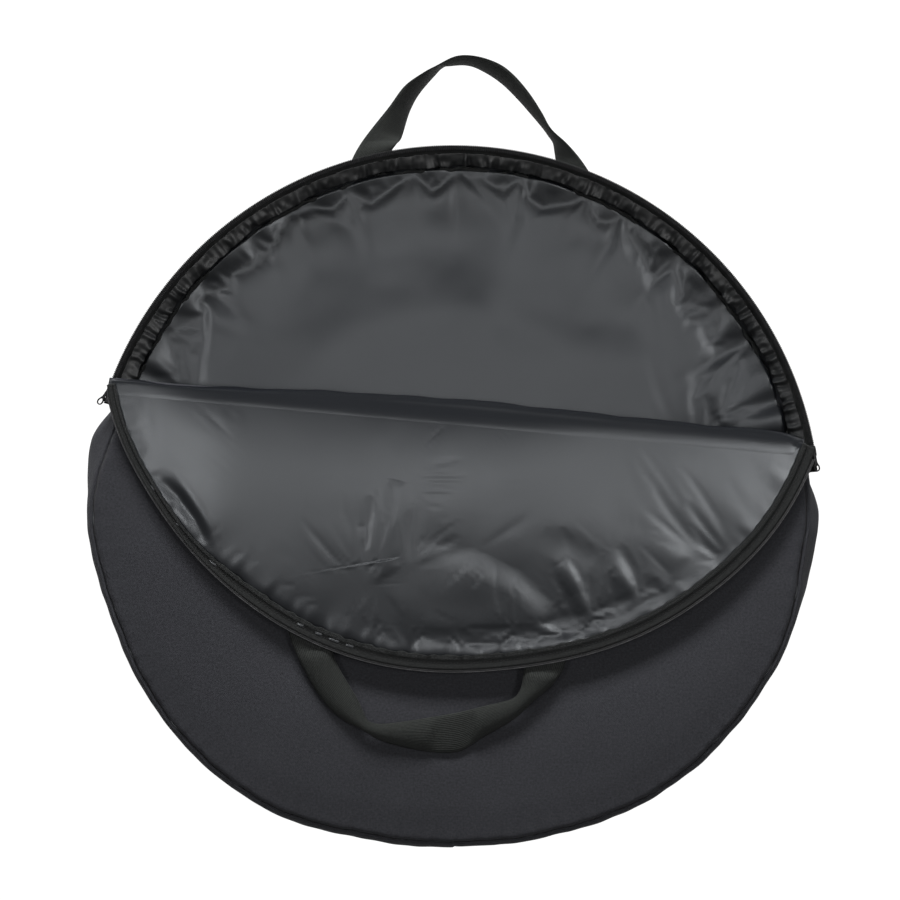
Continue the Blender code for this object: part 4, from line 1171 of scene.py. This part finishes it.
def zipper():
    """The two coils, and the bag's tape with its row of stitches."""
    coil("flap_zipper_coil", 369.8, 374.8, (FLAP_START, FLAP_END), "flap", "zipper_teeth_flap", open_flap=True)
    coil("side_zipper_coil", 377.8, 372.4, (7.9, 161.7), "bag", "zipper_teeth_side")
    angle = np.arange(TAPE_END_RIGHT, TAPE_END_LEFT + 0.01, 0.2)

    def ruffle(a, profile):
        low = np.clip((60.0 - profile[:, 1]) / 13.0, 0.0, 1.0)[None]
        wave = ripple(a * 6.5, ((27.0, 0.7), (16.0, 0.5), (61.0, 0.8)), 71)[:, None]
        return wave * np.sin(np.pi * low) * 0.9, 0.0

    tape = ribbon_profile(362.2, 42.2, 377.4, 60.9, 0.6, 12)
    ring_strip("side_zipper_tape", angle, tape, tape_cloth, "bag", ("zipper_tape_side",), wave=ruffle)
    inward = polar(-0.78, angle, 0.62)
    dashes("side_tape_stitches", polar(370.9, angle, 52.4) + inward * 0.2, inward, "bag")


def seam_bindings():
    """The rolled bindings inside the bag, each a ruffled strip standing off its seam."""

    def roll(radius, z, wide, high, seed):
        def wave(a, p):
            arc = a * 6.3
            return (
                radius(a)[:, None] + ripple(arc, ((17.0, 0.5), (29.0, 0.7)), seed)[:, None],
                z + ripple(arc, ((21.0, 0.5), (13.0, 0.3)), seed + 1)[:, None],
            )

        return oval(10, wide, high), wave

    angle = np.arange(TAPE_END_RIGHT, TAPE_END_LEFT + 0.01, 0.16)
    s = np.linspace(0.0, 1.0, 14)
    spine = np.stack([371.0 - 12.4 * s, 54.6 - 6.6 * s], -1)
    leaning = np.gradient(spine, axis=0)
    leaning = np.stack([leaning[:, 1], -leaning[:, 0]], -1) / np.linalg.norm(leaning, axis=1, keepdims=True)
    thick = 0.6 * np.sin(np.pi * np.clip(s, 0.06, 0.94))[:, None] ** 0.5
    profile = np.concatenate([spine + leaning * thick, (spine - leaning * thick)[::-1]])
    lean, share = np.concatenate([leaning, leaning[::-1]]), np.concatenate([s, s[::-1]])

    def crumple(a, p):
        arc, along = a[:, None] * 6.4, share[None] * 13.0
        pleats = ripple(arc + 3.0 * lumps(arc, along, 14.0, 85), ((8.3, 0.55), (12.1, 0.5), (19.0, 0.4)), 90)
        wide = lumps(arc, along, 11.0, 87) * 1.7 + lumps(arc, along, 5.5, 88) * 1.3
        wide = wide + pleats * (1.2 + 1.0 * lumps(arc, 0 * along, 40.0, 89))
        wide = wide * np.minimum(1.0, np.minimum(a - a[0], a[-1] - a) / 4.0)[:, None] * (0.35 + 0.65 * share[None])
        pull = (lumps(arc, 0 * along, 26.0, 86) * 1.8 + lumps(arc, 0 * along, 9.0, 84) * 1.0) * share[None] ** 2
        return wide * lean[None, :, 0] + pull, wide * lean[None, :, 1]

    ring_strip("side_top_binding_roll", angle, profile, binding_satin, "bag", ("side_top_binding",), wave=crumple)
    around = np.linspace(0.0, 360.0, 901)
    raised = open_share(around)
    level = (9.0 + 27.0 * raised)[:, None]
    profile, wave = roll(lambda a: radius_below(a) - foot_inset(a) - 5.6 + 5.6 * raised, level, 2.2, 2.0, 83)
    ring_strip(
        "back_seam_binding_roll", around, profile, binding_cloth, "bag", ("back_seam_binding",), loop=True, wave=wave
    )
    below = np.arange(JOIN_LEFT, JOIN_RIGHT + 0.01, 0.4)
    profile, wave = roll(lambda a: radius_below(a) - rim_inset(a) - 6.0, 57.6, 2.6, 2.2, 85)
    ring_strip("front_seam_binding_roll", below, profile, binding_cloth, "bag", ("front_seam_binding",), wave=wave)


flap_trim()
zipper()
seam_bindings()


# Sliders, pulls and stops


def stop(name):
    """One of the zipper's end stops: the CAD piece with its corners rounded off."""
    mesh = nodes[name].data.copy()
    shell = bmesh.new()
    shell.from_mesh(mesh)
    bmesh.ops.remove_doubles(shell, verts=shell.verts, dist=1e-6)
    bmesh.ops.dissolve_limit(shell, angle_limit=math.radians(1.0), verts=shell.verts, edges=shell.edges)
    bmesh.ops.recalc_face_normals(shell, faces=shell.faces)
    shell.to_mesh(mesh)
    shell.free()
    mesh.materials.clear()
    mesh.materials.append(nylon)
    made = link(bpy.data.objects.new(name + "_finished", mesh))
    rounding = made.modifiers.new("rounding", "BEVEL")
    rounding.width = 0.0004
    rounding.segments = 2
    rounding.limit_method = "ANGLE"
    rounding.angle_limit = math.radians(35)
    rounding.harden_normals = False
    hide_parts(name)
    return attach(made, "bag")


def stack(loops):
    """A closed solid from loops laid one above the other: quads between them and a fan over each end."""
    loops = np.asarray(loops, float)
    rows, count = loops.shape[:2]
    index = np.arange(rows * count).reshape(rows, count)
    after = np.roll(np.arange(count), -1)
    quads = np.stack([index[:-1], index[:-1][:, after], index[1:][:, after], index[1:]], -1).reshape(-1, 4).tolist()
    low, high = rows * count, rows * count + 1
    fans = [[low, b, a] for a, b in zip(index[0], index[0][after])]
    fans += [[high, a, b] for a, b in zip(index[-1], index[-1][after])]
    points = np.concatenate([loops.reshape(-1, 3), [loops[0].mean(axis=0), loops[-1].mean(axis=0)]])
    return points, quads + fans


def plate(outline, low, high, rounding):
    """A flat plate from an outline, its rims rounded by drawing the loops in at both faces."""
    outline = np.asarray(outline, float)
    middle = outline.mean(axis=0)
    size = np.linalg.norm(outline - middle, axis=1).mean()
    loops = [(low + rounding * (1 - math.cos(t)), rounding * (1 - math.sin(t))) for t in (0.0, 0.5, 1.05, math.pi / 2)]
    loops += [(high - (z - low), inset) for z, inset in loops[::-1]]
    shaped = []
    for z, inset in loops:
        flat = middle + (outline - middle) * (1 - inset / size)
        shaped.append(np.concatenate([flat, np.full((len(flat), 1), z)], axis=1))
    return stack(shaped)


def joined(name, parts, part, place, along):
    """Closed solids made into one piece: x runs along the zipper, y across it, and z is the height above the floor."""
    points, faces, shift = [], [], 0
    for made, quads in parts:
        points.append(made)
        faces += [[k + shift for k in face] for face in quads]
        shift += len(made)
    local = np.concatenate(points)
    across = np.array([-along[1], along[0]])
    flat = np.asarray(place)[:2] + local[:, :1] * along + local[:, 1:2] * across
    world = np.concatenate([flat, local[:, 2:]], axis=1)
    order = np.concatenate([np.array(face) for face in faces])
    obj = make_object(name, world, faces, local[order][:, :2], [black_metal])
    turn_outwards(obj, 50.0)
    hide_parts(part)
    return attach(obj, part)


def slider_parts():
    """A zipper slider: two shield-shaped plates on a post, side flanges, and a bridge over the top for the pull."""
    t = np.linspace(0.0, 2 * np.pi, 36, endpoint=False)
    x = 6.0 * np.sign(np.cos(t)) * np.abs(np.cos(t)) ** 0.75
    width = 3.7 + 1.1 * smooth((x + 6.0) / 12.0)
    shield = np.stack([x, width * np.sign(np.sin(t)) * np.abs(np.sin(t)) ** 0.8], -1)
    parts = [plate(shield, 60.0, 61.3, 0.45), plate(shield, 64.1, 65.5, 0.5)]
    post = np.stack([1.0 + 2.4 * np.cos(t), 0.9 * np.sin(t)], -1)
    parts.append(plate(post, 61.0, 64.4, 0.1))
    for sign in (-1.0, 1.0):
        rim = np.stack([5.2 * np.cos(t) - 0.3, sign * 4.25 + 0.42 * np.sin(t)], -1)
        parts.append(plate(rim, 60.6, 62.0, 0.12))
        parts.append(plate(rim, 63.4, 64.9, 0.12))
    # The bridge: a bar bent over the top plate, broader at its feet
    s = np.linspace(0.0, np.pi, 15)
    spine = np.stack([0.4 - 4.3 * np.cos(s) * (1 - 0.12 * np.sin(s)), 0 * s, 65.0 + 3.4 * np.sin(s) ** 0.75], -1)
    tangent = frames_along(spine)
    out = np.stack([-tangent[:, 2], 0 * s, tangent[:, 0]], -1)
    k = np.linspace(0.0, 2 * np.pi, 8, endpoint=False)
    ring = 1.25 * np.sign(np.cos(k)) * np.abs(np.cos(k)) ** 0.6
    thick = 0.55 * np.sign(np.sin(k)) * np.abs(np.sin(k)) ** 0.6
    loops = spine[:, None] + ring[None, :, None] * np.array([0.0, 1.0, 0.0]) + thick[None, :, None] * out[:, None]
    parts.append(stack(loops))
    return parts


def pull_parts(pivot, lean):
    """A pull tab: an eye round the bridge, a slim neck, and a ring at its end, turned a little about the bridge."""
    t = np.linspace(0.0, 2 * np.pi, 40, endpoint=False)
    u = 0.5 - 0.5 * np.cos(t)
    along = (0.0, 0.04, 0.14, 0.28, 0.56, 0.68, 0.80, 0.92, 0.98, 1.0)
    half = np.interp(u, along, (0.0, 1.5, 1.9, 1.1, 1.2, 2.3, 3.2, 2.9, 1.6, 0.0))
    half = half * np.where(np.sin(t) >= 0, 1.0, -1.0) * np.where(np.abs(np.sin(t)) < 1e-6, 0.0, 1.0)
    outline = np.stack([-1.6 + 23.2 * u, half], -1)
    inner = outline * [0.985, 0.9] + [0.12, 0.0]
    hole = np.stack([14.4 + 5.9 * u, 2.05 * np.sin(t) * (0.75 + 0.25 * u)], -1)
    levels = (outline, -0.45), (inner, -0.7), (hole, -0.7), (hole, 0.7), (inner, 0.7), (outline, 0.45)
    rings = np.array([np.concatenate([flat, np.full((len(flat), 1), pivot + z)], axis=1) for flat, z in levels])
    c, s = math.cos(math.radians(lean)), math.sin(math.radians(lean))
    rings[..., :2] = rings[..., :2] @ np.array([[c, s], [-s, c]])
    rows, count = rings.shape[:2]
    index = np.arange(rows * count).reshape(rows, count)
    after = np.roll(np.arange(count), -1)
    below = np.roll(np.arange(rows), -1)
    quads = np.stack([index, index[:, after], index[below][:, after], index[below]], -1).reshape(-1, 4).tolist()
    return [(rings.reshape(-1, 3), quads)]


for side, angle, sign, lean in (("left", SLIDER_LEFT, 1.0, -16.0), ("right", SLIDER_RIGHT, -1.0, 2.0)):
    turn = math.radians(angle)
    along = np.array([-math.sin(turn), math.cos(turn)]) * sign
    slider, pull = "zipper_slider_" + side, "zipper_pull_" + side
    joined(slider + "_cast", slider_parts(), slider, polar(SLIDER_RADIUS, np.array(angle), 0.0), -along)
    joined(pull + "_tab", pull_parts(PULL_Z, lean), pull, polar(PULL_RADIUS, np.array(angle), 0.0), along)
    stop("zipper_stop_" + side)


# Carrying handles


def strap_section(width, curl, thickness):
    """A strap's cross-section: a bowed strip whose length stays the webbing's width, with rounded selvedges."""
    s = np.linspace(-1.0, 1.0, 13)
    x, y = s * width / 2, curl * (1.0 - s**2)
    slope = np.gradient(y, x)
    norm = np.sqrt(1 + slope**2)
    nx, ny = -slope / norm, 1 / norm
    thick = thickness / 2 * np.minimum(1.0, 0.35 + 1.9 * (1.0 - np.abs(s)))
    upper = np.stack([x + nx * thick, y + ny * thick], -1)
    lower = np.stack([x - nx * thick, y - ny * thick], -1)
    return np.concatenate([upper, lower[::-1]])


def curl_for(width, full):
    """The bow's height for which a parabola over the given width has the webbing's full width as its length."""
    heights = np.linspace(0.0, full, 300)
    s = np.linspace(0.0, 1.0, 200)
    slope = 2 * heights[:, None] * s * 2 / max(width, 1e-3)
    lengths = width * np.sqrt(1 + slope**2).mean(axis=1)
    return float(np.interp(full, lengths, heights))


def strap(name, left, right, body, replaced, thickness=1.7, bow=12.0):
    """Webbing between two edge lines: sections across them, each bowed so that the webbing keeps its width."""
    t = np.linspace(0.0, 1.0, len(left))
    fine = np.linspace(0.0, 1.0, 140)

    def through(points):
        return np.stack([cubic(t, points[:, i], fine) for i in range(3)], -1)

    a, b = through(np.asarray(left, float)), through(np.asarray(right, float))
    middle = (a + b) / 2
    across = b - a
    width = np.linalg.norm(across, axis=1)
    side = across / width[:, None]
    tangent = frames_along(middle)
    up = np.cross(side, tangent)
    up /= np.linalg.norm(up, axis=1, keepdims=True)
    sections = np.stack([strap_section(w, min(bow, curl_for(min(w, 37.9), 38.0)), thickness) for w in width])
    made = tube_along(name, middle, side, up, sections, [webbing])
    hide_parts(replaced)
    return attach(made, body) if body else made


def sewn_ends(handle, edges, drop, body, thickness, bow):
    """A handle's two sewn ends: the first and last rows of the strap's own edges, a little below it."""
    last = len(edges[0])
    for name, ends in ((handle + "_end_left", slice(0, 2)), (handle + "_end_right", slice(last - 2, last))):
        low = [edge[ends] - np.array([0.0, 0.0, drop]) for edge in edges]
        strap(name + "_sewn", low[0], low[1], body, name, thickness, bow)


def back_handle():
    """The handle sewn to the side band: flat at its ends, turned on edge over the top, and twisted in its right leg."""
    outer = np.array([
        (349.5, 172), (350.6, 163), (358, 148), (370.4, 130.2), (389.1, 106.9), (404.7, 86), (423.3, 72.7),
        (435.8, 66), (456, 56.2), (476.2, 56.2), (498, 63.3), (513.6, 74.8), (529.1, 92.9), (541.6, 112.2),
        (551, 128.7), (566.5, 143.2), (578.9, 157.2), (588, 170), (592, 178),
    ])
    inner = np.array([
        (388, 160), (390.5, 152.5), (396.5, 144), (401.5, 137.5), (409.5, 112), (420, 92.5), (434.5, 75),
        (447, 65.0), (460.1, 62.8), (474, 64.8), (488.5, 73), (504.2, 84.2), (519.8, 99.6), (534.5, 115.7),
        (547.5, 130.6), (552.6, 141.5), (554.6, 152), (556, 164), (556.5, 172),
    ])
    width = np.linalg.norm(outer - inner, axis=1) * PIXEL
    drop = np.sqrt(np.maximum(WEBBING_WIDTH**2 - width**2, 0.0)) * 0.97
    heights = BACK_HANDLE_Z + 0 * drop, BACK_HANDLE_Z - drop
    edges = [np.concatenate([from_photo(p, z), z[:, None]], axis=1) for p, z in zip((outer, inner), heights)]
    strap("back_handle_strap", edges[0], edges[1], "back_handle", "back_handle")
    sewn_ends("back_handle", edges, 1.9, "bag", 1.6, 2.0)


def front_handle():
    """The handle on the flap's outer face: it hangs out below it on the front, and folds over at its left bend."""
    outer = [
        (280, 596), (284, 616), (289, 634), (293, 646), (302, 666), (315, 689), (330, 709), (346, 721.5),
        (359, 727.5), (369, 734), (381, 740.5), (402, 746.5), (423, 750.8), (444, 753), (462, 750.5), (483, 737),
        (504, 725.5), (519, 715), (533, 701.5), (550.5, 687), (561.5, 672.5), (565.5, 660), (567, 640), (567, 616),
    ]
    inner = [
        (318, 586), (322, 606), (327, 626), (331, 641), (335, 660), (347, 682), (357, 698), (363, 711),
        (367.5, 720), (376, 723.6), (389, 723.4), (411, 720.6), (430, 717.4), (448, 714.4), (466, 710.6),
        (484, 706.2), (502, 702), (511, 699.4), (517.5, 694.5), (522, 684.5), (524.2, 668), (526, 652), (528, 636),
        (530, 614),
    ]
    places = np.arange(len(outer))
    z_outer = np.interp(places, (0, 6, 8, 10, 14, 18, 23), (68.6, 68.8, 69.6, 70.0, 69.2, 69.0, 68.6))
    z_inner = np.interp(
        places, (0, 5, 7, 8, 9, 12, 17, 19, 23), (68.6, 69.0, 72.5, 74.0, 73.5, 71.5, 72.5, 70.5, 68.6)
    )
    edges = [np.concatenate([from_photo(p, z), z[:, None]], axis=1) for p, z in ((inner, z_inner), (outer, z_outer))]
    loop = strap("front_handle_strap", edges[0], edges[1], None, "front_handle", bow=6.0)
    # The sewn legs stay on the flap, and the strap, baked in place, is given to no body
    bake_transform(loop)
    sewn_ends("front_handle", edges, 1.7, "flap", 1.4, 1.0)


back_handle()
front_handle()
